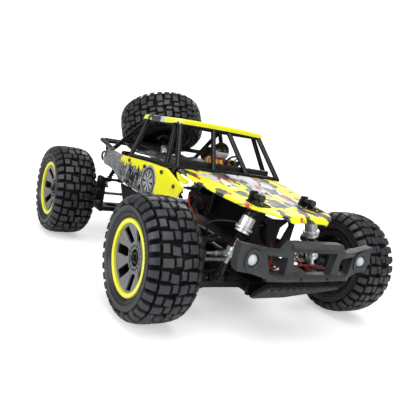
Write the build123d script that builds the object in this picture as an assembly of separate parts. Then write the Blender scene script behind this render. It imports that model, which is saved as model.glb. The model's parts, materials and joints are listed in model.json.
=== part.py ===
from build123d import *
import math
import os

# Four-wheel-drive model buggy with a roll cage, driver figure and tilted spare wheel.
# Millimetres. +X forward, +Y left, +Z up; origin on the ground midway between the axles.
# Corner pieces are drawn at the front left and mirrored to the other corners.

os.makedirs("parts", exist_ok=True)

# ---- driving dimensions
WHEELBASE = 271.0
TRACK = 249.0
TYRE_D = 115.0
TYRE_W = 53.0
AXLE_X = WHEELBASE / 2      # front axle, the rear axle is at -AXLE_X
AXLE_Z = TYRE_D / 2
WHEEL_Y = TRACK / 2         # wheel centre plane
RUN = 0.05                  # running clearance on radius
PIN_R = 1.5                 # hinge pins
PIN_HOLE_R = PIN_R + RUN
SHAFT_R = 2.5               # wheel axles, centre shaft, idler and spare wheel posts
BALL_R = 2.4                # steering balls
FLOOR_LOW, FLOOR_TOP = 26.0, 29.0
NOSE_X = 216.0              # front of the bumper, the rear rack reaches -NOSE_X

# suspension pivots and steering axis
ARM_IN, ARM_OUT = 20.0, 76.0
LOW_Z, UP_Z = 38.0, 77.0
KING_Y = 84.0

# damper eyes (Y, Z); the damper plane is mirrored at the rear
DAMPER_X = AXLE_X + 20.5
FRONT_TOP, FRONT_LOW = (33.0, 126.0), (61.0, 47.0)
REAR_TOP, REAR_LOW = (40.0, 114.0), (70.0, 48.0)
EYE_SLACK = 1.15            # extra radius in the lower eye


# ---- primitives: a span along one axis, then the centre and radius
def cyl_x(x0, x1, y, z, radius):
    return Pos((x0 + x1) / 2, y, z) * Rot(0, 90, 0) * Cylinder(radius, abs(x1 - x0))


def cyl_y(y0, y1, x, z, radius):
    return Pos(x, (y0 + y1) / 2, z) * Rot(90, 0, 0) * Cylinder(radius, abs(y1 - y0))


def cyl_z(z0, z1, x, y, radius):
    return Pos(x, y, (z0 + z1) / 2) * Cylinder(radius, abs(z1 - z0))


def box(x0, x1, y0, y1, z0, z1):
    centre = Pos((x0 + x1) / 2, (y0 + y1) / 2, (z0 + z1) / 2)
    return centre * Box(abs(x1 - x0), abs(y1 - y0), abs(z1 - z0))


def ball(x, y, z, radius):
    return Pos(x, y, z) * Sphere(radius)


# the same, with X measured from the front axle
def axle_cyl(x0, x1, y, z, radius):
    return cyl_x(AXLE_X + x0, AXLE_X + x1, y, z, radius)


def axle_box(x0, x1, *spans):
    return box(AXLE_X + x0, AXLE_X + x1, *spans)


def from_axle(points):
    return [(AXLE_X + x, y) for x, y in points]


def bar(start, end, radius):
    start, end = Vector(*start), Vector(*end)
    axis = end - start
    return Plane(origin=(start + end) * 0.5, z_dir=axis) * Cylinder(radius, axis.length)


def pipe(points, radius):
    """Straight bars with a ball at each inner joint."""
    out = bar(points[0], points[1], radius)
    for start, end in zip(points[1:], points[2:]):
        out = out + ball(*start, radius) + bar(start, end, radius)
    return out


def prism(points, direction):
    face = make_face(Polyline(*points, close=True))
    vector = Vector(*direction)
    return extrude(face, amount=vector.length, dir=vector.normalized())


def prism_xz(points, y0, y1):
    return prism([(x, y0, z) for x, z in points], (0, y1 - y0, 0))


def prism_xy(points, z0, z1):
    return prism([(x, y, z0) for x, y in points], (0, 0, z1 - z0))


def prism_yz(points, x0, x1):
    return prism([(x0, y, z) for y, z in points], (x1 - x0, 0, 0))


def hex_y(y0, y1, x, z, across_flats):
    corner_r = across_flats / math.sqrt(3)
    angles = [math.radians(60 * i) for i in range(6)]
    return prism_xz([(x + corner_r * math.cos(a), z + corner_r * math.sin(a)) for a in angles],
                    y0, y1)


def revolve_y(points):
    """Revolve (radius, y) points about Y."""
    face = make_face(Polyline(*[(r, y, 0) for r, y in points], close=True))
    return revolve(face, Axis.Y, 360)


def symmetric(half):
    """Close a half outline with its copy at negated second coordinate."""
    return half + [(first, -second) for first, second in reversed(half)]


def to_right(shape):
    return mirror(shape, about=Plane.XZ)


def to_rear(shape):
    return mirror(shape, about=Plane.YZ)


def both(shape):
    return shape + to_right(shape)


def same(shape):
    return shape


def save(name, *shapes):
    solids = [solid for shape in shapes for solid in shape.solids()]
    export_step(Compound(children=solids), f"parts/{name}.step")


# corner name: front/rear then left/right, with the move from the front left
CORNERS = {"fl": same, "fr": to_right, "rl": to_rear, "rr": lambda s: to_right(to_rear(s))}

# ---- wheels, about the wheel centre with +Y outboard
TYRE_R = TYRE_D / 2
TYRE_HALF_W = TYRE_W / 2
BEAD_R, BEAD_Y = 32.0, 20.5    # tyre seat on the rim
FLANGE_R, FLANGE_Y = 35.3, 22.5
HEX_AF, HEX_Y = 12.0, -15.5    # drive hexagon and its outboard face
HUB_FACE_Y = 14.2
SPOKES = 7
# tyre half sections (radius, y), bead to tread
TYRE_SKIN = [
    (BEAD_R, BEAD_Y), (36.6, 20.5), (37.6, 22.8), (41.0, 25.4), (0.8 * TYRE_R, TYRE_HALF_W),
    (0.9 * TYRE_R, 24.4), (0.965 * TYRE_R, 19.9), (TYRE_R, 0.4 * TYRE_HALF_W)]
TYRE_CAVITY = [
    (BEAD_R, 14.5), (35.5, 15.0), (38.5, 20.3), (45.0, 22.6), (50.0, 20.4), (52.8, 16.0),
    (53.8, 9.0)]
# rim sections (radius, y)
RIM_BARREL = [
    (29.5, -FLANGE_Y), (FLANGE_R, -FLANGE_Y), (FLANGE_R, -BEAD_Y), (BEAD_R, -BEAD_Y),
    (BEAD_R, BEAD_Y), (FLANGE_R, BEAD_Y), (FLANGE_R, FLANGE_Y), (31.0, FLANGE_Y), (29.5, 20.5)]
RIM_DISC = [(6, 11.0), (15, 11.3), (30.0, 17.0), (30.0, 20.2), (15, 14.5), (6, HUB_FACE_Y)]
# half window between spokes (x, z)
RIM_WINDOW = [(28.2, 4.6), (18.8, 4.6), (15.9, 1.9)]

tyre = revolve_y(symmetric(TYRE_SKIN) + symmetric([(r, -y) for r, y in TYRE_CAVITY]))

rim = revolve_y(RIM_BARREL)
rim += revolve_y(RIM_DISC)
rim += cyl_y(-19.5, HUB_FACE_Y, 0, 0, 9.0)
for i in range(SPOKES):
    rim -= Rot(0, 360 / SPOKES * i, 0) * prism_xz(symmetric(RIM_WINDOW), 8, 24)
rim -= cyl_y(-25, 20, 0, 0, SHAFT_R)
rim -= hex_y(-25, HEX_Y, 0, 0, HEX_AF)

# inboard cup, axle and drive hexagon
axle = cyl_y(79 - WHEEL_Y, 91 - WHEEL_Y, 0, 0, 6.8) - cyl_y(78 - WHEEL_Y, 89 - WHEEL_Y, 0, 0, 5.2)
axle += cyl_y(90 - WHEEL_Y, 19.8, 0, 0, SHAFT_R) + hex_y(103 - WHEEL_Y, HEX_Y, 0, 0, HEX_AF)

nut = hex_y(HUB_FACE_Y, 18.4, 0, 0, 7.0) + cyl_y(HUB_FACE_Y, 15.0, 0, 0, 5.0)
nut -= cyl_y(10, 22, 0, 0, SHAFT_R)

at_wheel = Pos(AXLE_X, WHEEL_Y, AXLE_Z)
for corner, place in CORNERS.items():
    save("tyre_" + corner, place(at_wheel * tyre))
    save("rim_" + corner, *[place(at_wheel * piece) for piece in (rim, axle, nut)])

# ---- driveshaft: ball ended, from the gearbox case to the wheel cup
SHAFT_IN_Y = 14
driveshaft = cyl_y(SHAFT_IN_Y, KING_Y, AXLE_X, AXLE_Z, 2.0)
driveshaft = driveshaft + ball(AXLE_X, SHAFT_IN_Y, AXLE_Z, 2.6) + ball(AXLE_X, KING_Y, AXLE_Z, 2.6)

# ---- upper link: eye at each end, collars and a middle hexagon
upper_link = (cyl_y(ARM_IN + 3.5, ARM_OUT - 3.5, AXLE_X, UP_Z, 1.8)
              + axle_cyl(-2, 2, ARM_IN, UP_Z, 4.2) + axle_cyl(-2, 2, ARM_OUT, UP_Z, 4.2)
              + hex_y(44, 52, AXLE_X, UP_Z, 5.5)
              + cyl_y(ARM_IN + 5.6, ARM_IN + 14, AXLE_X, UP_Z, 2.7)
              + cyl_y(ARM_OUT - 14, ARM_OUT - 5.6, AXLE_X, UP_Z, 2.7))
upper_link -= axle_cyl(-3, 3, ARM_IN, UP_Z, PIN_HOLE_R)
upper_link -= axle_cyl(-3, 3, ARM_OUT, UP_Z, PIN_HOLE_R)

# ---- lower arms; outlines are (x from the axle, y)
ARM_HALF_T = 3
ARM_OUTLINE = [
    (-18.5, 21), (18.5, 21), (17.0, 40), (16, 60), (16, 76), (8.5, 76), (8.5, 70),
    (-8.5, 70), (-8.5, 76), (-14, 76), (-14, 56), (-17.5, 36)]
ARM_WINDOWS = [[(-12, 28), (12, 28), (11, 43), (-10, 43)],
               [(-9, 48), (9, 48), (8, 64), (-7, 64)]]


def lower_arm(damper_eye):
    """Arm, its outer hinge pin and the stud for the damper's lower eye."""
    y, z = damper_eye
    arm = prism_xy(from_axle(ARM_OUTLINE), LOW_Z - ARM_HALF_T, LOW_Z + ARM_HALF_T)
    arm += axle_cyl(-18.5, 18.5, ARM_IN, LOW_Z, 4.0)
    arm += axle_cyl(8.5, 16, ARM_OUT, LOW_Z, 4.0) + axle_cyl(-14, -8.5, ARM_OUT, LOW_Z, 4.0)
    for window in ARM_WINDOWS:
        arm -= prism_xy(from_axle(window), 30, 50)
    arm += axle_box(11, 15, y - 5, y + 5, LOW_Z, z) + axle_cyl(11, 15, y, z, 5.0)
    arm -= axle_cyl(-25, 25, ARM_IN, LOW_Z, PIN_HOLE_R)
    arm -= axle_cyl(-25, 25, ARM_OUT, LOW_Z, PIN_R)
    arm -= axle_cyl(10, 16, y, z, PIN_R)
    pin = axle_cyl(-14, 16, ARM_OUT, LOW_Z, PIN_R)
    stud = (axle_cyl(11, 24.5, y, z, PIN_R) + axle_cyl(15, 18.2, y, z, 2.7)
            + axle_cyl(22.8, 25.0, y, z, 3.4))
    return arm, pin, stud


# ---- hub carriers
def carrier(extras, hole_end):
    """Upright plate between the arm pivots, with extras added before boring to hole_end."""
    body = (axle_cyl(-8, 8, ARM_OUT, LOW_Z, 4.0) + axle_box(-8, 8, 73, 77, LOW_Z, 46)
            + axle_box(-11, 11, 73, 77, 44.5, 70))
    body += axle_box(-7, 7, 73, 80, 69, 80) + axle_cyl(-7, 7, ARM_OUT, UP_Z, 4.0)
    for extra in extras:
        body += extra
    body -= cyl_y(70, hole_end, AXLE_X, AXLE_Z, 8.0)
    body -= axle_box(-2.3, 2.3, 70, 84, 72.2, 90)          # slot for the upper link
    body += axle_cyl(-6.9, 6.9, ARM_OUT, UP_Z, PIN_R)
    body -= axle_cyl(-9, 9, ARM_OUT, LOW_Z, PIN_HOLE_R)
    return body


def king_cyl(z0, z1, radius):
    """Cylinder on the steering axis."""
    return cyl_z(z0, z1, AXLE_X, KING_Y, radius)


# C shaped front carrier: a lug and a fixed steering pin above and below
LOW_LUG, UP_LUG = (43.5, 46.5), (68.5, 71.8)
front_carrier = carrier([
    axle_box(-7, 7, 76, KING_Y, *LOW_LUG), king_cyl(*LOW_LUG, 7.0),
    axle_box(-7, 7, 76, KING_Y, *UP_LUG), king_cyl(*UP_LUG, 7.0),
    king_cyl(43.6, 50.0, PIN_R), king_cyl(65.0, 71.7, PIN_R)], 78)

rear_carrier = carrier([
    cyl_y(75, 92.4, AXLE_X, AXLE_Z, 10.4), cyl_y(92, 102, AXLE_X, AXLE_Z, 11.6),
    axle_box(-6, 6, 76, 88, 66.0, 71.5)], 91.8)
rear_carrier -= cyl_y(90, 104, AXLE_X, AXLE_Z, SHAFT_R + RUN)

# ---- steering
LINK_X = AXLE_X - 20.0                  # steering balls
INNER_Y = KING_Y - (ARM_OUT - ARM_IN)   # inner balls: tie rod as long as the arm
TIE_Z = 57.0
CRANK_X, CRANK_Y, CRANK_R = 105.0, 14.0, 20.0
CRANK_PIN_X = CRANK_X - CRANK_R
CRANK_Z = (46.5, 49.0)
DRAG_Z = (49.5, 52.0)
KNUCKLE_LOW, KNUCKLE_UP = (47, 50), (65, 68)
KNUCKLE_ARM_Z = (50.5, 53.5)
KNUCKLE_ARM = [
    (AXLE_X - 9, 93), (AXLE_X - 9, 101), (LINK_X - 2.6, KING_Y + 2.4),
    (LINK_X - 1.0, KING_Y - 2.8), (LINK_X + 3.5, KING_Y - 1.2)]


def ball_stud(z0, y):
    return cyl_z(z0, TIE_Z, LINK_X, y, 1.2)


knuckle = king_cyl(*KNUCKLE_LOW, 5.0) + king_cyl(*KNUCKLE_UP, 5.0)
knuckle += axle_box(-5, 5, KING_Y, 93, *KNUCKLE_LOW) + axle_box(-5, 5, KING_Y, 93, *KNUCKLE_UP)
knuckle += cyl_y(92, 102, AXLE_X, AXLE_Z, 11.5)
knuckle += prism_xy(KNUCKLE_ARM, *KNUCKLE_ARM_Z)
knuckle += (cyl_z(*KNUCKLE_ARM_Z, LINK_X, KING_Y, 3.6) + ball_stud(53.0, KING_Y)
            + ball(LINK_X, KING_Y, TIE_Z, BALL_R))
knuckle -= king_cyl(46, 51, PIN_HOLE_R) + king_cyl(64, 69, PIN_HOLE_R)
knuckle -= cyl_y(90, 104, AXLE_X, AXLE_Z, SHAFT_R + RUN)
save("knuckle_fl", knuckle)
save("knuckle_fr", to_right(knuckle))


def crank(y, boss_r):
    """Arm pointing rearward from its pivot, with a pin up into the drag link."""
    return (cyl_z(*CRANK_Z, CRANK_X, y, boss_r) + cyl_z(*CRANK_Z, CRANK_PIN_X, y, 3.8)
            + box(CRANK_PIN_X, CRANK_X, y - 3, y + 3, *CRANK_Z)
            + cyl_z(CRANK_Z[1], 52.6, CRANK_PIN_X, y, PIN_R))


SERVO_SHAFT_R = 2.9
save("servo_horn", crank(-CRANK_Y, 4.5)
     + cyl_z(42.0, CRANK_Z[0], CRANK_X, -CRANK_Y, SERVO_SHAFT_R))
save("idler_crank", crank(CRANK_Y, 5.0) - cyl_z(40, 50, CRANK_X, CRANK_Y, SHAFT_R + RUN))

# drag link: cross bar between the cranks and an arm out to each inner ball
reach_x, reach_y = LINK_X - CRANK_PIN_X, INNER_Y - CRANK_Y
reach = math.hypot(reach_x, reach_y)
DRAG_HALF_W = 3
side_x, side_y = -reach_y / reach * DRAG_HALF_W, reach_x / reach * DRAG_HALF_W
drag_arm = [(CRANK_PIN_X + side_x, CRANK_Y + side_y), (LINK_X + side_x, INNER_Y + side_y),
            (LINK_X - side_x, INNER_Y - side_y), (CRANK_PIN_X - side_x, CRANK_Y - side_y)]
drag_link = box(CRANK_PIN_X - DRAG_HALF_W, CRANK_PIN_X + DRAG_HALF_W, -CRANK_Y, CRANK_Y, *DRAG_Z)
drag_link += both(cyl_z(*DRAG_Z, CRANK_PIN_X, CRANK_Y, 4.0) + cyl_z(*DRAG_Z, LINK_X, INNER_Y, 4.0)
                  + prism_xy(drag_arm, *DRAG_Z)
                  + ball_stud(51.5, INNER_Y) + ball(LINK_X, INNER_Y, TIE_Z, BALL_R))
drag_link -= both(cyl_z(45, 55, CRANK_PIN_X, CRANK_Y, PIN_HOLE_R))
save("drag_link", drag_link)


def tie_eye(half_height, y, radius):
    return cyl_z(TIE_Z - half_height, TIE_Z + half_height, LINK_X, y, radius)


tie_rod = (cyl_y(INNER_Y + 3, KING_Y - 3, LINK_X, TIE_Z, 1.6)
           + tie_eye(2, INNER_Y, 4.0) + tie_eye(2, KING_Y, 4.0)
           + cyl_y(INNER_Y + 3, INNER_Y + 12, LINK_X, TIE_Z, 2.3)
           + cyl_y(KING_Y - 12, KING_Y - 3, LINK_X, TIE_Z, 2.3))
tie_rod -= tie_eye(3, INNER_Y, BALL_R + RUN) + tie_eye(3, KING_Y, BALL_R + RUN)
save("tie_rod_l", tie_rod)
save("tie_rod_r", to_right(tie_rod))


# ---- dampers, drawn down -Z from the top eye then swung into place
def damper(top, low):
    """Body, rod and spring sleeve between two (y, z) eyes."""
    rod_r, bore_r = 1.6, 4.2
    reach_y, reach_z = low[0] - top[0], low[1] - top[1]
    length = math.hypot(reach_y, reach_z)
    swing = math.degrees(math.atan2(reach_y, -reach_z))
    place = Pos(DAMPER_X, top[0], top[1]) * Rot(swing, 0, 0)

    def turned(z0, z1, radius):
        return cyl_z(z0, z1, 0, 0, radius)

    body = (cyl_x(-2.5, 2.5, 0, 0, 4.6) + turned(-6, 0, 2.3) + turned(-15, -5, 7.0)
            + turned(-46, -14, 5.6) + turned(-46, -43, 6.0) + turned(-20, -16, 7.4))
    body -= (turned(-44, -13, bore_r) + turned(-48, -40, rod_r + RUN)
             + cyl_x(-4, 4, 0, 0, PIN_HOLE_R))
    rod = (turned(-length + 4, -28, rod_r) + turned(-32, -28, bore_r - RUN)
           + cyl_x(-2.0, 2.0, 0, -length, 5.0)
           + turned(-length + 4, -length + 12, 3.4) + turned(-length + 11, -length + 14.5, 7.4))
    rod -= cyl_x(-4, 4, 0, -length, PIN_R + EYE_SLACK)
    spring = turned(-length + 14.5, -20, 7.9) - turned(-length + 14, -19, 6.2)
    return place * body, place * rod, place * spring


for end, top, low, hub in (("f", FRONT_TOP, FRONT_LOW, front_carrier),
                           ("r", REAR_TOP, REAR_LOW, rear_carrier)):
    body, rod, spring = damper(top, low)
    pieces = {"damper_body": [body], "damper_rod": [rod], "spring": [spring],
              "lower_arm": lower_arm(low), "upper_link": [upper_link],
              "driveshaft": [driveshaft], "hub_carrier": [hub]}
    for corner in (end + "l", end + "r"):
        for name, shapes in pieces.items():
            save(f"{name}_{corner}", *[CORNERS[corner](shape) for shape in shapes])

# ---- drive line
PROP_Z = 46.0
SPUR_X = (-84.0, -78.0)
SPUR_R, PINION_R, MOTOR_R = 16.0, 5.9, 18.0
MOTOR_SHAFT_R = 1.6
GEAR_CENTRES = 22.0
MOTOR_RISE = 4             # motor axis above the centre shaft
MOTOR_Z = PROP_Z + MOTOR_RISE
MOTOR_Y = -math.sqrt(GEAR_CENTRES ** 2 - MOTOR_RISE ** 2)

save("propshaft", cyl_x(-132, 132, 0, PROP_Z, SHAFT_R) + cyl_x(*SPUR_X, 0, PROP_Z, SPUR_R)
     + cyl_x(SPUR_X[1], SPUR_X[1] + 3, 0, PROP_Z, 6.0))
save("motor_pinion", cyl_x(-85, -60, MOTOR_Y, MOTOR_Z, MOTOR_SHAFT_R)
     + cyl_x(*SPUR_X, MOTOR_Y, MOTOR_Z, PINION_R))

motor = cyl_x(-74, -21, MOTOR_Y, MOTOR_Z, MOTOR_R) + cyl_x(-76, -74, MOTOR_Y, MOTOR_Z, 6.0)
can_rims = motor.edges().filter_by(GeomType.CIRCLE).filter_by(
    lambda e: abs(e.radius - MOTOR_R) < 0.1)
motor = fillet(can_rims, 1.2)
motor += box(-62, -36, MOTOR_Y - 12, MOTOR_Y + 12, FLOOR_TOP, MOTOR_Z - 10)
motor -= cyl_x(-78, -58, MOTOR_Y, MOTOR_Z, MOTOR_SHAFT_R + RUN)
save("drive_motor", motor)

# gearbox case with a foot and hinge pin plates before and behind it
CASE_HALF_W = 15
case = axle_box(-9, 9, -CASE_HALF_W, CASE_HALF_W, FLOOR_TOP, 72)
case = fillet(case.edges().filter_by(Axis.X), 4.0)
case += axle_box(-23.5, 23.5, -CASE_HALF_W, CASE_HALF_W, FLOOR_TOP, 32)
case += (axle_box(19.5, 23.5, -25, 25, FLOOR_TOP, 42)
         + axle_box(-23.5, -19.5, -25, 25, FLOOR_TOP, 42))
case -= both(cyl_y(4, 16, AXLE_X, AXLE_Z, 6.5))
case -= axle_cyl(-30, -3, 0, PROP_Z, SHAFT_R + RUN)
case -= axle_box(-25, -19, -4, 4, 34, 43)
case -= both(axle_cyl(-30, 30, ARM_IN, LOW_Z, PIN_R))
save("gearbox_cases", case, to_rear(case))


# ---- shock towers
def tower(top, centre_z):
    """Plate ahead of the case, with a hole at each damper's top eye (y, z)."""
    y, z = top
    half = [(12, 58), (18, 70), (25, 72), (25, 84), (y - 6, z - 22), (y + 5, z - 3),
            (y + 3.5, z + 4.5), (y - 3.5, z + 4.5), (y - 8, z - 10), (13, centre_z),
            (0, centre_z), (0, 58)]
    window = [(5, 76), (14, 82), (y - 12, z - 28), (y - 15, z - 22), (8, centre_z - 8)]
    plate = both(prism_yz(half, AXLE_X + 9, AXLE_X + 12.5))
    plate -= both(axle_cyl(0, 20, ARM_IN, UP_Z, PIN_R)) + both(axle_cyl(0, 20, y, z, PIN_R))
    plate -= both(prism_yz(window, AXLE_X, AXLE_X + 20))
    return plate


front_tower = tower(FRONT_TOP, 104.0)
save("shock_towers", front_tower, to_rear(tower(REAR_TOP, 100.0)))

# ---- chassis tub: floor, side walls, ramp up to the bumper and rear kick-up
FLOOR_HALF = [(152, 15), (112, 15), (90, 55), (-90, 55), (-112, 15), (-165, 15)]   # x, y
SIDE_WALL = [(53, 27), (55.5, 26), (73.2, 84.5), (70.6, 84.5)]                     # y, z
RAMP_SIDE = [(148, 26), (158, 26), (209, 58), (206, 60.8), (160.2, 31.5), (159.5, 29),
             (148, 29)]                                                            # x, z
RAMP_HALF = [(140, -14), (152, -16), (172, -28), (212, -48)]                       # x, y
RIB_SIDE = [(160.5, 30), (206, 59.6), (206, 62.0), (160.5, 33.4)]                  # x, z
RIB_LIMIT = [(160.5, 26), (204, 53), (204, 62), (160.5, 34)]                       # x, z
KICK_UP = [(-158, 26), (-165, 26), (-186, 38), (-184, 41), (-164, 29), (-158, 29)]  # x, z

tub = prism_xy(symmetric(FLOOR_HALF), FLOOR_LOW, FLOOR_TOP)
tub += both(prism_yz(SIDE_WALL, -76, 76))
ramp = prism_xz(RAMP_SIDE, -48, 48)
ramp = ramp & prism_xy(symmetric(RAMP_HALF), 20, 80)
for rib_y in (-10.0, 0.0, 10.0):
    ramp += prism_xz(RIB_SIDE, rib_y - 1.2, rib_y + 1.2) & prism_xz(RIB_LIMIT, -40, 40)
tub += ramp
tub += prism_xz(KICK_UP, -14, 14)
tub += (cyl_z(FLOOR_TOP, 49.4, CRANK_X, CRANK_Y, SHAFT_R)
        + cyl_z(FLOOR_TOP, 44.0, CRANK_X, CRANK_Y, 4.5))
save("chassis_tub", tub)

# ---- front bumper: frame, lower and upper lips, lamp pods and a stem to the tower
LAMP_Y, LAMP_Z, LAMP_R = 67.1, 81.9, 6.2
CUT_X = (190, 230)
BUMPER_HALF = [   # y, z
    (0, 60.8), (30, 61.0), (47, 63.4), (66, 69.5), (84.5, 71.5), (88, 82.5), (86, 96.5),
    (77, 95.0), (44, 91.8), (37.7, 91.8), (31.2, 99.6), (0, 99.6)]
LOW_LIP = [(205, 60.8), (211, 60.8), (NOSE_X, 65.0), (NOSE_X, 67.0), (211, 71.0), (205, 71.0)]
TOP_LIP = [(205, 92.0), (211, 92.0), (214.5, 95.5), (211.5, 99.6), (205, 99.6)]

centre_opening = prism_yz([(-23, 70.5), (23, 70.5), (27, 91), (-27, 91)], *CUT_X)
side_openings = both(prism_yz([(33, 70), (49, 70.5), (54, 87), (33, 86)], *CUT_X))
bumper = both(prism_yz(BUMPER_HALF, 203, 211.5))
bumper -= centre_opening
bumper -= side_openings
lip = prism_xz(LOW_LIP, -50, 50)
lip = lip & prism_xy(symmetric([(200, -50), (212, -50), (NOSE_X, -40)]), 50, 80)
lip -= side_openings + centre_opening
bumper += lip
bumper += prism_xz(TOP_LIP, -31.2, 31.2)
bumper += both(cyl_x(199, 213.0, LAMP_Y, LAMP_Z, 9.5)
               + box(199, 209, LAMP_Y - 9, LAMP_Y + 16, LAMP_Z - 9, LAMP_Z + 9))
bumper -= both(cyl_x(*CUT_X, LAMP_Y, LAMP_Z, LAMP_R))
bumper += axle_box(12.5, 205 - AXLE_X, -9, 9, 61, 66) + axle_box(12.5, 16, -9, 9, 58, 74)
bumper -= both(cyl_x(*CUT_X, 16.3, 66.5, 1.6))     # holes in the lower lip
bumper -= tub
save("front_bumper", bumper)

# ---- headlamps, each with a lead running back under the hood
lamp = cyl_x(197.0, 213.6, LAMP_Y, LAMP_Z, LAMP_R)
lamp = fillet(lamp.edges().filter_by(GeomType.CIRCLE).sort_by(Axis.X)[-1], 2.8)
wire = Spline((196.9, LAMP_Y, LAMP_Z), (188, 60, 84), (175, 30, 90), (166, 13.5, 94),
              (158, 11.5, 98))
lead = sweep(Plane(origin=wire @ 0, z_dir=wire % 0) * Circle(0.8), path=wire)
save("headlamps", both(lamp), both(lead))

# ---- roll cage with the rear rack and spare wheel post; left side joints (x, y, z)
TUBE_R = 2.9
RACK_R = 2.2
SCREEN_LOW, SCREEN_TOP = (56, 69.6, 131.5), (19.5, 55.5, 176.0)
ROOF_REAR = (-66, 54.5, 172.0)
WAIST_REAR = (-62.7, 71.5, 123.5)
STAY_LOW, RACK_FRONT = (-134, 64.0, 124.0), (-150, 61.5, 119.0)
RACK_CORNER = (-NOSE_X + TUBE_R, 52.0, 124.4)
SCREEN_BAR_LOW = (55.2, 23.4, 132.5)


def across(point, radius, y_end=0):
    """Bar along Y from a joint."""
    return bar(point, (point[0], y_end, point[2]), radius)


half_cage = pipe([(50, 63.0, 58), (50, 69.0, 128), SCREEN_LOW, SCREEN_TOP, ROOF_REAR,
                  WAIST_REAR, (-60, 63.0, 58)], TUBE_R)
half_cage += across(SCREEN_TOP, TUBE_R, -SCREEN_TOP[1]) + across(ROOF_REAR, TUBE_R)
half_cage += bar((31, 69.6, 131.0), (9.0, 55.5, 175.0), TUBE_R)
half_cage += bar(SCREEN_LOW, WAIST_REAR, TUBE_R)
half_cage += bar((19.0, 10.8, 175.9), SCREEN_BAR_LOW, TUBE_R) + ball(*SCREEN_BAR_LOW, TUBE_R)
half_cage += pipe([ROOF_REAR, STAY_LOW, RACK_FRONT, (-209.5, 57.0, 124.0), RACK_CORNER], TUBE_R)
half_cage += across(RACK_CORNER, TUBE_R) + ball(*RACK_CORNER, TUBE_R)
half_cage += (pipe([(-181, 56.0, 104), (-198, 53.0, 124.0)], RACK_R)
              + across((-198, 53.0, 123.6), RACK_R) + ball(-198, 53, 123.8, 2.4))
half_cage += bar(RACK_FRONT, (-150, 62.0, 104), 2.4)
cage = both(half_cage)
cage += bar((SCREEN_LOW[0], -SCREEN_LOW[1], SCREEN_LOW[2]), SCREEN_LOW, TUBE_R)

SPARE_TILT = math.radians(-34)
spare_centre = Vector(-135, 0, 163.5)
spare_axis = Vector(math.sin(SPARE_TILT), 0, math.cos(SPARE_TILT))


def on_spare_axis(distance):
    return tuple(spare_centre + spare_axis * distance)


beam_x, _, beam_z = on_spare_axis(-33)
cage += bar((beam_x, -62.5, beam_z), (beam_x, 62.5, beam_z), TUBE_R)
cage += (bar(on_spare_axis(-33), on_spare_axis(-19.5), 6.0)
         + bar(on_spare_axis(-20), on_spare_axis(19.8), SHAFT_R))
cage -= tub
save("roll_cage", cage)

at_spare = Plane(origin=spare_centre, z_dir=spare_axis) * Rot(90, 0, 0)
save("spare_wheel", at_spare * tyre, at_spare * rim, at_spare * nut)

# ---- hood: bent sheet trimmed to a plan, with two openings and side tabs
HOOD_T = 1.8
HOOD_TOP = [(60, 131), (102, 124.5), (157, 117.4), (180, 115.5), (193, 112.0), (195.5, 106.5)]
HOOD_HALF = [(60, -73), (88, -72), (112, -67), (160, -57), (180, -46), (196, -20)]   # x, y
underside = ([(x, z - HOOD_T) for x, z in HOOD_TOP[:4]]
             + [(x - HOOD_T, z - HOOD_T) for x, z in HOOD_TOP[4:]])
hood = prism_xz(HOOD_TOP + underside[::-1], -75, 75)
hood = hood & prism_xy(symmetric(HOOD_HALF), 90, 140)
hood -= both(box(143, 167, 24, 48, 100, 140))
hood += (both(prism_xz([(60, 131), (88, 126.6), (86, 117), (66, 119)], 71.4, 73.0))
         & box(50, 90, -80, 80, 100, 131))
hood -= cage + front_tower
save("hood_panel", hood)

# ---- cage panels; outlines are (x, z) unless marked
SIDE_IN, SIDE_OUT = 73.6, 75.2
SIDE_PANEL = [(-65.6, 122.5), (39, 125.5), (85, 114.8), (75, 101.5), (56, 94), (20, 86),
              (-57, 86), (-64, 92)]
ROOF_PANEL = [(21, 180.7), (-68.5, 176.8), (-68.5, 175.3), (21, 179.1)]
ROOF_SIDE = [(21, 179.6), (-68, 175.8), (-65.6, 169), (4.7, 170.5), (15, 173)]
TAIL_SIDE = [(-66, 118), (-120, 116), (-178, 112), (-190, 106), (-191, 98), (-184, 92),
             (-120, 91), (-92, 88), (-66, 88)]
TAIL_PLAN = [(-66, SIDE_OUT), (-192, 60.2), (-192, 58.6), (-66, SIDE_IN)]     # x, y
TAIL_END_HALF = [(-190.4, 55.0), (-186.4, 60.0), (-188, 60.0), (-192, 56.0)]  # x, y

side_panel = prism_xz(SIDE_PANEL, SIDE_IN, SIDE_OUT)
roof = prism_xz(ROOF_PANEL, -57, 57)
roof_sides = both(prism_xz(ROOF_SIDE, 57.0, 58.5))
tail = prism_xy(TAIL_PLAN, 80, 120) & prism_xz(TAIL_SIDE, 50, 80)
tail_end = prism_xy(symmetric(TAIL_END_HALF), 93, 104)
tail_end -= both(tail)
ring = Pos(-194.6, 40.0, 98.5) * Rot(90, 0, 0) * Torus(4.0, 1.1)
tail_end -= both(ring)
panels = [both(side_panel), roof, roof_sides, both(tail), tail_end, both(ring)]
save("cage_panels", *[panel - cage for panel in panels])

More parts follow.
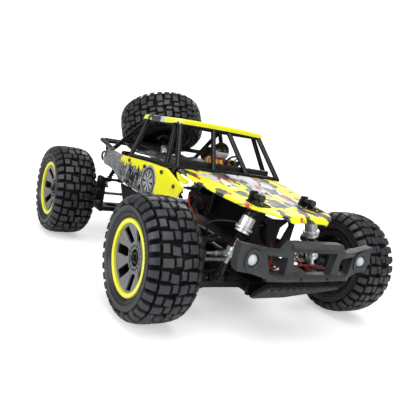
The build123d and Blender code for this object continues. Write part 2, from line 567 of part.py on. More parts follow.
# ---- cockpit insert: tray with two seat pads, driver figure and steering wheel
TRAY_TOP = 132
DRIVER_X, DRIVER_Y = -5, 22
TORSO = [(-24, 6), (-24, 38), (-16, 43), (2, 40), (8, 32), (8, 12), (2, 4), (-16, 1)]   # x, y
tray = (box(-62, 44, -66, 66, 129.5, TRAY_TOP) + box(43, 45.5, -60, 60, 129.5, 138.5)
        + box(45.5, 59.5, -66, 66, 129.0, 131.0))
tray += box(-58, -24, 2, 42, TRAY_TOP, 136) + box(-58, -24, -42, -2, TRAY_TOP, 136)
tray -= cage
torso = prism_xy(TORSO, TRAY_TOP, 141)
torso = (fillet(torso.faces().sort_by(Axis.Z)[-1].edges(), 3.0)
         + cyl_z(140, 146, DRIVER_X, DRIVER_Y, 5.5))
helmet = Pos(DRIVER_X, DRIVER_Y, 150.7) * scale(Sphere(10.5), by=(1.1, 0.95, 1.08)) - torso
at_steering = Pos(22, DRIVER_Y, 140) * Rot(0, -62, 0)
steering = at_steering * Torus(9, 1.2) + bar((22, DRIVER_Y, 140), (44, DRIVER_Y, 133.5), 1.6)
steering += at_steering * Box(17.5, 2.2, 1.6)
steering -= tray + torso
save("cockpit_insert", tray, torso, helmet, steering)

# ---- power and control
battery = box(-66, 70, 8, 50, FLOOR_TOP, 54)
battery = fillet(battery.edges().filter_by(Axis.X), 4.0)
save("battery_pack", battery - tub)

SERVO_Y = (-24, -4.2)
servo = (box(CRANK_X - 30, CRANK_X + 6, *SERVO_Y, FLOOR_TOP, 43.5)
         + box(CRANK_X - 36, CRANK_X + 6.4, *SERVO_Y, 39, 41)
         + cyl_z(43, 46, CRANK_X, -CRANK_Y, 6.0))
servo -= cyl_z(40, 48, CRANK_X, -CRANK_Y, SERVO_SHAFT_R + RUN)
save("steering_servo", servo)

FIN_PITCH, FIN_T = 6, 2
control = box(6, 50, -50, -14, FLOOR_TOP, 46) + box(10, 46, -46, -18, 46, 49)
for i in range(6):
    fin_x = 12 + FIN_PITCH * i
    control += box(fin_x, fin_x + FIN_T, -45, -19, 49, 54)
save("control_unit", control)

# ---- fixed pins and side panel screws
SCREWS = [(34, 121), (-10, 119), (-55, 118), (66, 112), (-50, 92), (10, 91)]   # x, z
arm_pins = axle_cyl(-23.5, 23.5, ARM_IN, LOW_Z, PIN_R)
arm_pins += (axle_cyl(-3, 12.5, ARM_IN, UP_Z, PIN_R) + axle_cyl(-4.6, -2.4, ARM_IN, UP_Z, 3.0)
             + axle_cyl(2.3, 9.0, ARM_IN, UP_Z, 2.6))
fasteners = [both(arm_pins) + to_rear(both(arm_pins))]
for (y, z), place in ((FRONT_TOP, same), (REAR_TOP, to_rear)):
    pin = (cyl_x(AXLE_X + 9.0, DAMPER_X + 4.5, y, z, PIN_R)
           + cyl_x(AXLE_X + 12.5, DAMPER_X - 2.8, y, z, 2.7)
           + cyl_x(DAMPER_X + 2.8, DAMPER_X + 4.8, y, z, 3.4))
    fasteners.append(place(both(pin)))
for x, z in SCREWS:
    fasteners.append(both(cyl_y(SIDE_OUT, 76.6, x, z, 2.2)))
save("fasteners", *fasteners)
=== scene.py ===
"""Radio-controlled off-road truck with a printed film body, a spare wheel and a driver figure.

+X is forward, +Y left, +Z up, with the ground at z = 0. Shapes are written in millimetres;
materials, lights and the camera are in metres.
"""
import bmesh
import bpy
import json
from functools import partialmethod
from math import asin, copysign, cos, exp, hypot, pi, radians, sin
from mathutils import Matrix, Vector

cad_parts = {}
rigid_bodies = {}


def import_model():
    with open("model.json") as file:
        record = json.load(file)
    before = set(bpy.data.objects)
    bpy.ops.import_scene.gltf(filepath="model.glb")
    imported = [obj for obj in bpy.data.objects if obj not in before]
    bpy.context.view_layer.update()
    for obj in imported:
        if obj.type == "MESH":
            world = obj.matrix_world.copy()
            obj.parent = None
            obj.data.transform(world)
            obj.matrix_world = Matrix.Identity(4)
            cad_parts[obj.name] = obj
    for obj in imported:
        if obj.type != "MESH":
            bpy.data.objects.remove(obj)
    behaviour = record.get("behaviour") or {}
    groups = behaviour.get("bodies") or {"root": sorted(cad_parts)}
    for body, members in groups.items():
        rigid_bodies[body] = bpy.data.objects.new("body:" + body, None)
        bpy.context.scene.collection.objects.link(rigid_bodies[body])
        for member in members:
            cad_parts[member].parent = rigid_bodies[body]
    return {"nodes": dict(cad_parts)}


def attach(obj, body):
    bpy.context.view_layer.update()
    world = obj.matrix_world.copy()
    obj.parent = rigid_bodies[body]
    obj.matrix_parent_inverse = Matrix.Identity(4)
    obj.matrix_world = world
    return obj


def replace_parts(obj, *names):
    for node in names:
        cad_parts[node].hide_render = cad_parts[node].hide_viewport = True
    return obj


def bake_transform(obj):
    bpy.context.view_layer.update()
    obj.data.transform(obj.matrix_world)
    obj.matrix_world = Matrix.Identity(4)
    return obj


for old in list(bpy.data.objects):
    bpy.data.objects.remove(old)
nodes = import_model()["nodes"]
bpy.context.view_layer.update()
scene = bpy.context.scene

MM = 0.001
WHEEL_X, WHEEL_Y, WHEEL_Z = 135.5, 124.5, 57.5
# Corner: sign of x, sign of y
CORNERS = {"fl": (1, 1), "fr": (1, -1), "rl": (-1, 1), "rr": (-1, -1)}
SIDES = ((1, "left"), (-1, "right"))


# ---------------------------------------------------------------- materials
class Shader:
    """A material round one Principled node, with short calls for the common nodes."""

    def __init__(self, name):
        self.material = bpy.data.materials.new(name)
        self.material.use_nodes = True
        self.tree = self.material.node_tree
        self.tree.nodes.clear()
        output = self.node("OutputMaterial")
        self.surface = self.node("BsdfPrincipled")
        self.feed(output.inputs[0], self.surface.outputs[0])
        self.place = self.node("TexCoord").outputs["Object"]

    def feed(self, socket, value):
        """Link an output to the socket, or set its number, vector or colour."""
        if isinstance(value, tuple) and socket.type == "RGBA":
            value = (*value, 1)
        if isinstance(value, (int, float, tuple)):
            socket.default_value = value
        else:
            self.tree.links.new(value, socket)

    def node(self, kind, inputs=None, **settings):
        made = self.tree.nodes.new("ShaderNode" + kind)
        for key, value in settings.items():
            setattr(made, key, value)
        for key, value in (inputs or {}).items():
            self.feed(made.inputs[key], value)
        return made

    def noise(self, scale, detail=4.0, rough=0.55, distort=0.0, stretch=None, output="Fac"):
        place = self.place
        if stretch:
            place = self.node("Mapping", {0: place, "Scale": stretch}).outputs[0]
        return self.node("TexNoise", {
            "Scale": scale, "Detail": detail, "Roughness": rough,
            "Distortion": distort, "Vector": place}).outputs[output]

    def ramp(self, source, stops, interpolation="LINEAR"):
        """stops are (position, grey or colour)."""
        made = self.node("ValToRGB", {0: source})
        ramp = made.color_ramp
        ramp.interpolation = interpolation
        while len(ramp.elements) < len(stops):
            ramp.elements.new(0.5)
        for element, (position, value) in zip(ramp.elements, stops):
            element.position = position
            element.color = (*value, 1) if isinstance(value, tuple) else (value, value, value, 1)
        return made.outputs[0]

    def rise(self, source, low, high):
        """A mask going from 0 at low to 1 at high."""
        return self.ramp(source, [(low, 0.0), (high, 1.0)])

    def mix(self, mask, under, over):
        return self.node("Mix", {0: mask, 6: under, 7: over},
                         data_type="RGBA", blend_type="MIX").outputs[2]

    def math(self, operation, first, second=None, clamp=False):
        inputs = {0: first} if second is None else {0: first, 1: second}
        return self.node("Math", inputs, operation=operation, use_clamp=clamp).outputs[0]

    plus = partialmethod(math, "ADD")
    minus = partialmethod(math, "SUBTRACT")
    times = partialmethod(math, "MULTIPLY")
    over = partialmethod(math, "DIVIDE")
    above = partialmethod(math, "GREATER_THAN")
    below = partialmethod(math, "LESS_THAN")
    absolute = partialmethod(math, "ABSOLUTE")

    def length(self, first, second):
        squares = self.plus(self.times(first, first), self.times(second, second))
        return self.math("SQRT", squares)

    def remap(self, source, start, end):
        """Carry the range start onto the range end."""
        inputs = {0: source, 1: start[0], 2: start[1], 3: end[0], 4: end[1]}
        return self.node("MapRange", inputs).outputs[0]

    def xyz(self):
        return self.node("SeparateXYZ", {0: self.place}).outputs

    def bump(self, height, strength, depth, under=None):
        inputs = {"Strength": strength, "Distance": depth, "Height": height}
        if under is not None:
            inputs["Normal"] = under
        return self.node("Bump", inputs).outputs[0]

    def pointiness(self):
        return self.node("NewGeometry").outputs["Pointiness"]

    def finish(self, **inputs):
        """Set Principled inputs, underscores standing for spaces."""
        for key, value in inputs.items():
            self.feed(self.surface.inputs[key.replace("_", " ")], value)
        return self.material


def plastic(name, dark, light, rough, dust, grain=2200, relief=0.25, wear=(0.3, 0.3, 0.3),
            worn=0.35, coat=0.0, spec=0.5):
    """Grained plastic: wear is the colour of its worn edges, worn and dust are amounts."""
    k = Shader(name)
    colour = k.mix(k.noise(45, detail=5), dark, light)
    edges = k.rise(k.pointiness(), 0.515, 0.60)
    broken = k.rise(k.noise(380, detail=6, rough=0.7), 0.40, 0.66)
    colour = k.mix(k.times(k.times(edges, broken), worn, clamp=True), colour, wear)
    dusty = k.rise(k.noise(70, detail=8, rough=0.7), 0.5, 0.8)
    colour = k.mix(k.times(dusty, dust, clamp=True), colour, (0.30, 0.29, 0.27))
    fine = k.bump(k.noise(grain, detail=3, rough=0.6), strength=relief, depth=0.00012)
    coarse = k.bump(k.noise(240, detail=3, rough=0.5), strength=relief * 0.35,
                    depth=0.0002, under=fine)
    return k.finish(
        Base_Color=colour, Normal=coarse, Coat_Weight=coat, Coat_Roughness=0.12,
        Specular_IOR_Level=spec,
        Roughness=k.remap(k.noise(150, detail=6, rough=0.6), (0.3, 0.7), rough))


def metal(name, dark, light, rough, stretch=(1, 1, 12), relief=0.2, metallic=1.0):
    """Brushed metal with darker spots."""
    k = Shader(name)
    brush = k.noise(600, detail=5, rough=0.6, stretch=stretch)
    spots = k.rise(k.noise(120, detail=8, rough=0.7), 0.55, 0.8)
    colour = k.mix(k.times(spots, 0.35), k.mix(brush, dark, light),
                   tuple(0.45 * c for c in dark))
    return k.finish(
        Base_Color=colour, Metallic=metallic,
        Roughness=k.remap(k.noise(200, detail=6), (0.3, 0.7), rough),
        Normal=k.bump(brush, strength=relief, depth=0.00006))


def rubber(name, dark, light, spec):
    """Rubber with paler edges, hollows darkened as painted shade, and a little dust."""
    k = Shader(name)
    colour = k.mix(k.noise(60, detail=6), dark, light)
    edges = k.rise(k.pointiness(), 0.505, 0.58)
    colour = k.mix(k.times(edges, 0.45), colour, (0.026, 0.028, 0.033))
    # Painted shade: the hollows are darkened in the colour
    painted_shade_hollows = k.ramp(k.pointiness(), [(0.40, 1.0), (0.49, 0.0)])
    colour = k.mix(k.times(painted_shade_hollows, 0.8), colour, (0.004, 0.004, 0.005))
    dust = k.rise(k.noise(95, detail=8, rough=0.75), 0.55, 0.85)
    colour = k.mix(k.times(dust, 0.04), colour, (0.10, 0.10, 0.10))
    fine = k.bump(k.noise(1500, detail=4, rough=0.7), strength=0.35, depth=0.00015)
    return k.finish(
        Base_Color=colour, Specular_IOR_Level=spec,
        Roughness=k.ramp(k.noise(130, detail=6), [(0.3, 0.33), (0.7, 0.50)]),
        Normal=k.bump(k.noise(330, detail=3), strength=0.18, depth=0.0003, under=fine))


class Film(Shader):
    """Printed body film: a yellow ground for ragged angular patches."""
    # Cell patterns: scale, offset, stretch
    LARGE = (42, (0.31, 0.12, 0.0), (1.0, 1.35, 0.9))
    MEDIUM = (74, (0.05, 0.55, 0.2), (0.8, 1.4, 1.0))
    SMALL = (120, (0.15, 0.25, 0.4), (0.6, 1.6, 1.0))
    INK = (0.016, 0.017, 0.019)

    def __init__(self, name):
        super().__init__(name)
        broad = self.noise(26, detail=2, rough=0.4, output="Color")
        fine = self.noise(170, detail=3, rough=0.7, output="Color")
        self.warped = self.shift(self.shift(self.place, broad, 0.030), fine, 0.007)
        self.yellow = self.mix(self.noise(30, detail=3), (0.97, 0.955, 0.010), (0.92, 0.90, 0.008))

    def shift(self, place, noise, amount):
        """Displace a position by a noise colour centred on zero."""
        def vector(operation, inputs):
            return self.node("VectorMath", inputs, operation=operation).outputs[0]
        centred = vector("SUBTRACT", {0: noise, 1: (0.5, 0.5, 0.5)})
        return vector("ADD", {0: place, 1: vector("SCALE", {0: centred, 3: amount})})

    def cells(self, scale, offset, stretch):
        """Two random values, each constant within a cell."""
        place = self.node("Mapping", {0: self.warped, "Location": offset,
                                      "Rotation": (0, 0, 0.55), "Scale": stretch}).outputs[0]
        cell = self.node("TexVoronoi", {"Scale": scale, "Randomness": 1.0, "Vector": place},
                         distance="CHEBYCHEV", feature="F1").outputs["Color"]
        return self.node("SeparateColor", {0: cell}).outputs[:2]

    def finish_film(self, colour, speckled=True):
        if speckled:
            specks = self.ramp(self.noise(420, detail=6, rough=0.75),
                               [(0.655, 0.0), (0.66, 1.0)], "CONSTANT")
            colour = self.mix(self.times(specks, 0.8), colour, (0.05, 0.05, 0.05))
        edges = self.rise(self.pointiness(), 0.52, 0.62)
        colour = self.mix(self.times(edges, 0.25), colour, (0.9, 0.9, 0.85))
        scratches = self.noise(900, detail=4, rough=0.6, stretch=(0.15, 1.0, 1.0))
        waves = self.bump(self.noise(90, detail=2), strength=0.10, depth=0.0006)
        return self.finish(
            Base_Color=colour,
            Roughness=self.ramp(self.noise(110, detail=6), [(0.3, 0.32), (0.7, 0.48)]),
            Normal=self.bump(scratches, strength=0.06, depth=0.00005, under=waves),
            Coat_Weight=0.10, Coat_Roughness=0.18, Specular_IOR_Level=0.30)


def hood_film():
    """Grey and white at the rear centre, yellow borders, black angular patches."""
    k = Film("camo_hood")
    x, y, _ = k.xyz()
    large, large_tone = k.cells(*k.LARGE)
    medium, medium_tone = k.cells(*k.MEDIUM)
    small, small_tone = k.cells(*k.SMALL)
    centre = k.minus(1.0, k.over(k.absolute(y), 0.056), clamp=True)
    rear = k.minus(1.0, k.over(k.minus(x, 0.118), 0.050), clamp=True)
    field = k.plus(large, k.times(k.times(centre, rear), 1.0))
    pale = k.mix(k.above(medium_tone, 0.30), (0.17, 0.175, 0.185),
                 k.mix(large_tone, (0.46, 0.465, 0.48), (0.84, 0.85, 0.87)))
    colour = k.mix(k.above(field, 0.92), k.yellow, pale)
    dark = k.mix(k.above(small_tone, 0.5), k.INK, (0.10, 0.104, 0.112))
    colour = k.mix(k.above(medium, 0.79), colour, dark)
    # Broken outline round the pale patches
    near_edge = k.below(k.absolute(k.minus(field, 0.92)), 0.05)
    colour = k.mix(k.times(near_edge, k.above(small, 0.55)), colour, (0.03, 0.031, 0.034))
    return k.finish_film(k.mix(k.above(small_tone, 0.955), colour, (0.60, 0.035, 0.02)))


def side_film(name, speckled):
    """Yellow with a ragged lower edge over a dark graphic, a round emblem and a grey tail."""
    k = Film(name)
    disc_x, disc_z, disc_radius = 0.004, 0.1035, 0.0195
    x, _, z = k.xyz()
    small, small_tone = k.cells(*k.SMALL)
    broad = k.minus(k.noise(75, detail=6, rough=0.75, stretch=(1.6, 1.0, 0.35)), 0.5)
    fine = k.minus(k.noise(520, detail=4, rough=0.8, stretch=(1.4, 1.0, 0.3)), 0.5)
    ragged = k.plus(k.times(broad, 0.030), k.times(fine, 0.008))

    low = k.below(z, k.plus(0.1135, ragged))
    aft = k.below(x, k.plus(0.0225, k.times(ragged, 0.35)))
    dark = k.mix(k.above(small, 0.45), (0.018, 0.019, 0.021), (0.11, 0.113, 0.12))
    streaks = k.noise(230, detail=4, rough=0.65, distort=0.8, stretch=(1.5, 1.0, 0.55))
    dark = k.mix(k.above(streaks, 0.565), dark, (0.62, 0.63, 0.65))
    dark = k.mix(k.above(streaks, 0.615), dark, (0.24, 0.245, 0.255))
    colour = k.mix(k.times(low, aft), k.yellow, dark)

    across, up = k.minus(x, disc_x), k.minus(z, disc_z)
    radius = k.length(across, up)
    black = (0.012, 0.012, 0.013)
    emblem = k.ramp(k.over(radius, disc_radius), [
        (0.0, black), (0.18, (0.30, 0.305, 0.32)), (0.27, black),
        (0.62, (0.20, 0.205, 0.215)), (0.74, black), (0.86, (0.34, 0.345, 0.36))], "CONSTANT")
    wave = k.math("SINE", k.times(k.math("ARCTAN2", up, across), 4.0))
    spokes = k.times(k.above(k.absolute(wave), 0.55), k.below(radius, 0.0118))
    emblem = k.mix(spokes, emblem, (0.40, 0.405, 0.42))
    colour = k.mix(k.below(radius, disc_radius), colour, emblem)

    red = k.times(k.above(small_tone, 0.93), k.above(x, 0.036))
    colour = k.mix(red, colour, (0.62, 0.10, 0.02))
    grey = k.mix(k.noise(40), (0.16, 0.163, 0.17), (0.25, 0.254, 0.265))
    flecks = k.noise(260, detail=4, rough=0.6, stretch=(0.5, 1, 1.2))
    grey = k.mix(k.above(flecks, 0.585), grey, (0.52, 0.50, 0.50))
    grey = k.mix(k.above(small, 0.92), grey, (0.05, 0.051, 0.054))
    tail = k.below(x, k.plus(-0.090, k.times(ragged, 0.5)))
    return k.finish_film(k.mix(tail, colour, grey), speckled)


def roof_film():
    """Yellow, with black and white patches behind x = -6 mm."""
    k = Film("camo_roof")
    x = k.xyz()[0]
    medium = k.cells(*k.MEDIUM)[0]
    small_tone = k.cells(*k.SMALL)[1]
    rear = k.over(k.minus(-0.006, x), 0.05, clamp=True)
    field = k.times(k.plus(0.35, medium), k.math("MINIMUM", k.times(rear, 3.0), 1.0))
    colour = k.mix(k.above(field, 0.72), k.yellow, k.INK)
    white = k.times(k.above(small_tone, 0.80), k.above(rear, 0.12))
    return k.finish_film(k.mix(white, colour, (0.62, 0.63, 0.64)))


def streaked_deck():
    k = Shader("deck_streaks")
    colour = k.mix(k.noise(60), (0.03, 0.031, 0.034), (0.07, 0.072, 0.076))
    streaks = k.noise(170, detail=6, rough=0.7, distort=0.6, stretch=(0.5, 1.6, 1))
    colour = k.mix(k.rise(streaks, 0.56, 0.59), colour, (0.46, 0.47, 0.49))
    specks = k.rise(k.noise(420, detail=6, rough=0.7), 0.64, 0.66)
    return k.finish(
        Base_Color=k.mix(specks, colour, (0.75, 0.76, 0.77)), Roughness=0.42, Coat_Weight=0.2,
        Normal=k.bump(k.noise(900, detail=3), strength=0.15, depth=0.0001))


def race_suit():
    """Slanting yellow and red stripes on woven cloth."""
    k = Shader("race_suit")
    x, _, z = k.xyz()
    stripes = k.math("SINE", k.times(k.plus(x, k.times(z, 0.7)), 950.0))
    colour = k.mix(k.above(stripes, 0.15), (0.86, 0.70, 0.03), (0.60, 0.03, 0.02))
    colour = k.mix(k.times(k.noise(220, detail=5), 0.35), colour, (0.25, 0.12, 0.02))
    weave = k.node("TexWave", {"Scale": 1600, "Vector": k.place}, wave_type="BANDS")
    return k.finish(Base_Color=colour, Roughness=0.75, Sheen_Weight=0.3,
                    Normal=k.bump(weave.outputs["Fac"], strength=0.25, depth=0.0001))


def lamp_lens():
    k = Shader("lamp_lens")
    # Painted shading of a lit dome: paler where the lens faces the camera, darker towards its rim
    painted_dome_shade = k.node("LayerWeight", {0: 0.45}).outputs["Facing"]
    colour = k.mix(painted_dome_shade, (0.66, 0.67, 0.70), (0.34, 0.35, 0.38))
    colour = k.mix(k.times(k.noise(500), 0.2), colour, (0.75, 0.76, 0.8))
    return k.finish(
        Base_Color=colour, Roughness=0.08, Subsurface_Weight=0.2, Coat_Weight=1.0,
        Normal=k.bump(k.noise(300, detail=2), strength=0.05, depth=0.0001))


BLACK = plastic("black_nylon", dark=(0.0035, 0.0036, 0.0042), light=(0.0075, 0.0077, 0.0088),
                rough=(0.36, 0.55), dust=0.015, wear=(0.10, 0.10, 0.105), spec=0.24)
SATIN = plastic("satin_black", dark=(0.0035, 0.0035, 0.004), light=(0.0060, 0.0060, 0.0068),
                rough=(0.16, 0.28), dust=0.01, grain=1500, relief=0.12,
                wear=(0.14, 0.14, 0.145), worn=0.25, spec=0.32)
BUMPER = plastic("bumper_grey", dark=(0.034, 0.036, 0.040), light=(0.046, 0.049, 0.054),
                 rough=(0.36, 0.52), dust=0.03, grain=1900, relief=0.3,
                 wear=(0.13, 0.14, 0.15), worn=0.5, spec=0.4)
SILVER = metal("silver_alloy", dark=(0.86, 0.87, 0.89), light=(0.93, 0.94, 0.96),
               rough=(0.26, 0.38), stretch=(1, 1, 1), relief=0.04, metallic=0.86)
STEEL = metal("steel", dark=(0.52, 0.53, 0.55), light=(0.66, 0.67, 0.69), rough=(0.2, 0.38))
OXIDE = metal("black_oxide", dark=(0.06, 0.06, 0.065), light=(0.12, 0.12, 0.13),
              rough=(0.3, 0.5))
RIM_GREY = plastic("rim_silver_grey", dark=(0.150, 0.154, 0.162), light=(0.200, 0.205, 0.214),
                   rough=(0.30, 0.44), dust=0.02, grain=900, relief=0.06,
                   wear=(0.34, 0.34, 0.35), worn=0.5, coat=0.35)
# Black for the barrel, hub and nut recess: painted shade inside the rim
RIM_SHADE_BLACK = plastic("rim_black_painted_shade", dark=(0.003, 0.003, 0.0035), light=(0.006, 0.006, 0.007),
                    rough=(0.35, 0.5), dust=0.02, wear=(0.1, 0.1, 0.1), worn=0.2)
YELLOW = plastic("bead_yellow", dark=(0.93, 0.925, 0.018), light=(0.97, 0.97, 0.035),
                 rough=(0.28, 0.4), dust=0.04, grain=1300, relief=0.08,
                 wear=(1.0, 0.97, 0.35), worn=0.4, coat=0.3)
WIRE_RED = plastic("wire_red", dark=(0.30, 0.006, 0.006), light=(0.40, 0.010, 0.009),
                   rough=(0.3, 0.45), dust=0.03, grain=900, relief=0.1,
                   wear=(0.7, 0.1, 0.08), worn=0.3)
WIRE_BLACK = plastic("wire_black", dark=(0.01, 0.01, 0.011), light=(0.02, 0.02, 0.022),
                     rough=(0.3, 0.45), dust=0.03, grain=900, relief=0.1, worn=0.1)
HELMET_WHITE = plastic("helmet_white", dark=(0.62, 0.63, 0.65), light=(0.74, 0.75, 0.77),
                       rough=(0.2, 0.34), dust=0.05, grain=900, relief=0.06,
                       wear=(0.9, 0.9, 0.9), worn=0.2, coat=0.4)
HELMET_BLACK = plastic("helmet_black", dark=(0.004, 0.004, 0.005), light=(0.007, 0.007, 0.008),
                       rough=(0.16, 0.28), dust=0.0, grain=900, relief=0.05,
                       wear=(0.05, 0.05, 0.05), worn=0.1, coat=0.15, spec=0.4)
BATTERY = plastic("battery_wrap", dark=(0.006, 0.008, 0.018), light=(0.010, 0.013, 0.028),
                  rough=(0.25, 0.4), dust=0.02, grain=500, relief=0.1,
                  wear=(0.1, 0.1, 0.1), worn=0.2, coat=0.3)
RUBBER = rubber("tyre_rubber", dark=(0.0085, 0.0094, 0.0120), light=(0.0190, 0.0206, 0.0250),
                spec=0.62)
# Darker copy of the tyre rubber for the tread base: painted shade between the lugs
RUBBER_GROOVE_SHADE = rubber("tyre_rubber_groove_painted_shade", dark=(0.0016, 0.0018, 0.0022),
                     light=(0.0034, 0.0036, 0.0044), spec=0.12)
FILM_HOOD = hood_film()
FILM_SIDE = side_film("camo_side", speckled=True)
FILM_ROOF = roof_film()
FILM_TAIL = side_film("camo_tail", speckled=False)
SKID = plastic("skid_grey", dark=(0.026, 0.0275, 0.030), light=(0.040, 0.042, 0.046),
               rough=(0.30, 0.45), dust=0.03, grain=1900, relief=0.2,
               wear=(0.10, 0.11, 0.12), worn=0.5)
DECK, SUIT, LENS = streaked_deck(), race_suit(), lamp_lens()


# ---------------------------------------------------------------- mesh tools
def angles(count, shift=0.0):
    """Evenly spaced angles round a full turn."""
    return [2 * pi * (i + shift) / count for i in range(count)]


def spread(start, end, steps):
    return [start + (end - start) * i / steps for i in range(steps + 1)]


def clamp(value, low=0.0, high=1.0):
    return max(low, min(high, value))


def smooth(t):
    t = clamp(t)
    return t * t * (3 - 2 * t)


def lerp(table, x):
    """Read a table of (x, value), holding the end values."""
    for (x0, value0), (x1, value1) in zip(table, table[1:]):
        if x <= x1:
            return value0 + (value1 - value0) * max(0.0, (x - x0) / (x1 - x0))
    return table[-1][1]


def catmull(points, steps=8):
    """Catmull-Rom curve through the points."""
    points = [Vector(p) for p in points]
    last = len(points) - 1
    curve = []
    for i in range(last):
        a, b, c, d = (points[min(max(i + j, 0), last)] for j in (-1, 0, 1, 2))
        for t in (j / steps for j in range(steps)):
            curve.append(0.5 * ((2 * b) + (c - a) * t + (2 * a - 5 * b + 4 * c - d) * t * t
                                + (3 * b - a - 3 * c + d) * t ** 3))
    return curve + [points[-1]]


def axes_about(axis):
    """The unit axis and two unit vectors square to it."""
    axis = Vector(axis).normalized()
    helper = Vector((0, 0, 1)) if abs(axis.z) < 0.9 else Vector((1, 0, 0))
    first = axis.cross(helper).normalized()
    return axis, first, axis.cross(first)


# Top and sides of an eight-cornered block: corners 0-3 round the base, 4-7 above them
TOP_AND_SIDES = [(4, 5, 6, 7), (0, 1, 5, 4), (1, 2, 6, 5), (2, 3, 7, 6), (3, 0, 4, 7)]


class Shape:
    """Vertices in mm, faces, and the material slot of each face."""

    def __init__(self):
        self.points, self.faces, self.slots = [], [], []

    def add(self, points, faces, mat=0):
        """mat is one slot, or a list with a slot for each face."""
        first = len(self.points)
        self.points += [tuple(p) for p in points]
        self.faces += [tuple(i + first for i in face) for face in faces]
        self.slots += mat if isinstance(mat, list) else [mat] * len(faces)
        return self

    def revolve(self, profile, segments, mat=0, origin=(0, 0, 0), axis=(0, 1, 0), closed=False):
        """Turn (radius, height) points about the axis; mat may list a slot per profile step."""
        axis, first, second = axes_about(axis)
        origin = Vector(origin)
        rings, points, faces, slots = [], [], [], []
        for radius, height in profile:
            count = segments if radius > 0 else 1
            rings.append(range(len(points), len(points) + count))
            points += [origin + axis * height + first * (radius * cos(a))
                       + second * (radius * sin(a)) for a in angles(count)]
        for k in range(len(profile) if closed else len(profile) - 1):
            near, far = rings[k], rings[(k + 1) % len(profile)]
            for i in range(segments):
                j = (i + 1) % segments
                if len(near) == 1:
                    faces.append((near[0], far[j], far[i]))
                elif len(far) == 1:
                    faces.append((near[i], near[j], far[0]))
                else:
                    faces.append((near[i], near[j], far[j], far[i]))
            slots += [mat[k] if isinstance(mat, list) else mat] * segments
        return self.add(points, faces, slots)

    def prism(self, outline, depth, mat=0):
        depth = Vector(depth)
        count = len(outline)
        points = [Vector(p) for p in outline] + [Vector(p) + depth for p in outline]
        sides = [(i, (i + 1) % count, (i + 1) % count + count, i + count) for i in range(count)]
        caps = [tuple(range(count))[::-1], tuple(range(count, 2 * count))]
        return self.add(points, caps + sides, mat)

    def box(self, low, high):
        (x0, y0, z0), (x1, y1, z1) = low, high
        points = [(x, y, z) for z in (z0, z1)
                  for x, y in ((x0, y0), (x1, y0), (x1, y1), (x0, y1))]
        return self.add(points, [(3, 2, 1, 0)] + TOP_AND_SIDES)

    def tube(self, path, radius, segments, mat=0, closed=False):
        """Round tube along a path; radius may list one value per path point."""
        path = [Vector(p) for p in path]
        count = len(path)
        across = None
        points, faces = [], []
        for i, centre in enumerate(path):
            if closed:
                along = (path[(i + 1) % count] - path[i - 1]).normalized()
            else:
                along = (path[min(i + 1, count - 1)] - path[max(i - 1, 0)]).normalized()
            if across is None:
                across = along.cross(Vector((0.31, 0.2, 0.93))).normalized()
            across = (across - along * across.dot(along)).normalized()
            other = along.cross(across)
            size = radius[i] if isinstance(radius, list) else radius
            points += [centre + across * (size * cos(a)) + other * (size * sin(a))
                       for a in angles(segments)]
        for i in range(count if closed else count - 1):
            near, far = i * segments, (i + 1) % count * segments
            for k in range(segments):
                n = (k + 1) % segments
                faces.append((near + k, near + n, far + n, far + k))
        if not closed:
            faces.append(tuple(range(segments))[::-1])
            faces.append(tuple(range((count - 1) * segments, count * segments)))
        return self.add(points, faces, mat)

    def grid(self, rows, mat=0, skip=None):
        """Faces between rows of equal length; skip(i, j) leaves a hole."""
        width = len(rows[0])
        faces = [(i * width + j, i * width + j + 1, (i + 1) * width + j + 1, (i + 1) * width + j)
                 for i in range(len(rows) - 1) for j in range(width - 1)
                 if not (skip and skip(i, j))]
        return self.add([p for row in rows for p in row], faces, mat)

    def moved(self, matrix):
        """A transformed copy, its faces turned over where the matrix mirrors."""
        copy = Shape()
        copy.points = [tuple(matrix @ Vector(p)) for p in self.points]
        mirrored = matrix.determinant() < 0
        copy.faces = [face[::-1] if mirrored else face for face in self.faces]
        copy.slots = list(self.slots)
        return copy

    def mesh(self, name, mats):
        mesh = bpy.data.meshes.new(name)
        mesh.from_pydata([(x * MM, y * MM, z * MM) for x, y, z in self.points], [], self.faces)
        for mat in mats:
            mesh.materials.append(mat)
        mesh.polygons.foreach_set("material_index", self.slots)
        mesh.polygons.foreach_set("use_smooth", [True] * len(self.faces))
        mesh.validate()
        mesh.update()
        return mesh


def link(name, data):
    made = bpy.data.objects.new(name, data)
    scene.collection.objects.link(made)
    return made


def add_bevel(part, width, segments, angle):
    bevel = part.modifiers.new("bevel", "BEVEL")
    bevel.width = width * MM
    bevel.segments = segments
    bevel.limit_method = "ANGLE"
    bevel.angle_limit = radians(angle)
    return bevel


def put(name, shape, mats, body="chassis", slot=None, bevel=0.0, solid=0.0, offset=-1.0,
        sharp=35, subdivide=0):
    """Add a part that rides on a body; bevel and solid are in mm, sharp in degrees."""
    mesh = shape.mesh(name, mats)
    work = bmesh.new()
    work.from_mesh(mesh)
    bmesh.ops.remove_doubles(work, verts=work.verts, dist=0.00002)
    bmesh.ops.recalc_face_normals(work, faces=work.faces)
    work.to_mesh(mesh)
    work.free()
    if sharp:
        mesh.set_sharp_from_angle(angle=radians(sharp))
    part = link(name, mesh)
    if subdivide:
        subsurf = part.modifiers.new("sub", "SUBSURF")
        subsurf.levels = subsurf.render_levels = subdivide
    if solid:
        solidify = part.modifiers.new("solid", "SOLIDIFY")
        solidify.thickness = solid * MM
        solidify.offset = offset
    if bevel:
        add_bevel(part, bevel, segments=2, angle=32).harden_normals = False
        part.modifiers.new("wn", "WEIGHTED_NORMAL").keep_sharp = False
    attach(part, body)
    return part


def soften(part, width, segments=2, angle=30):
    """Round the edges of a CAD mesh."""
    part.modifiers.new("weld", "WELD").merge_threshold = 0.00001
    add_bevel(part, width, segments, angle).use_clamp_overlap = True
    part.modifiers.new("wn", "WEIGHTED_NORMAL").keep_sharp = True


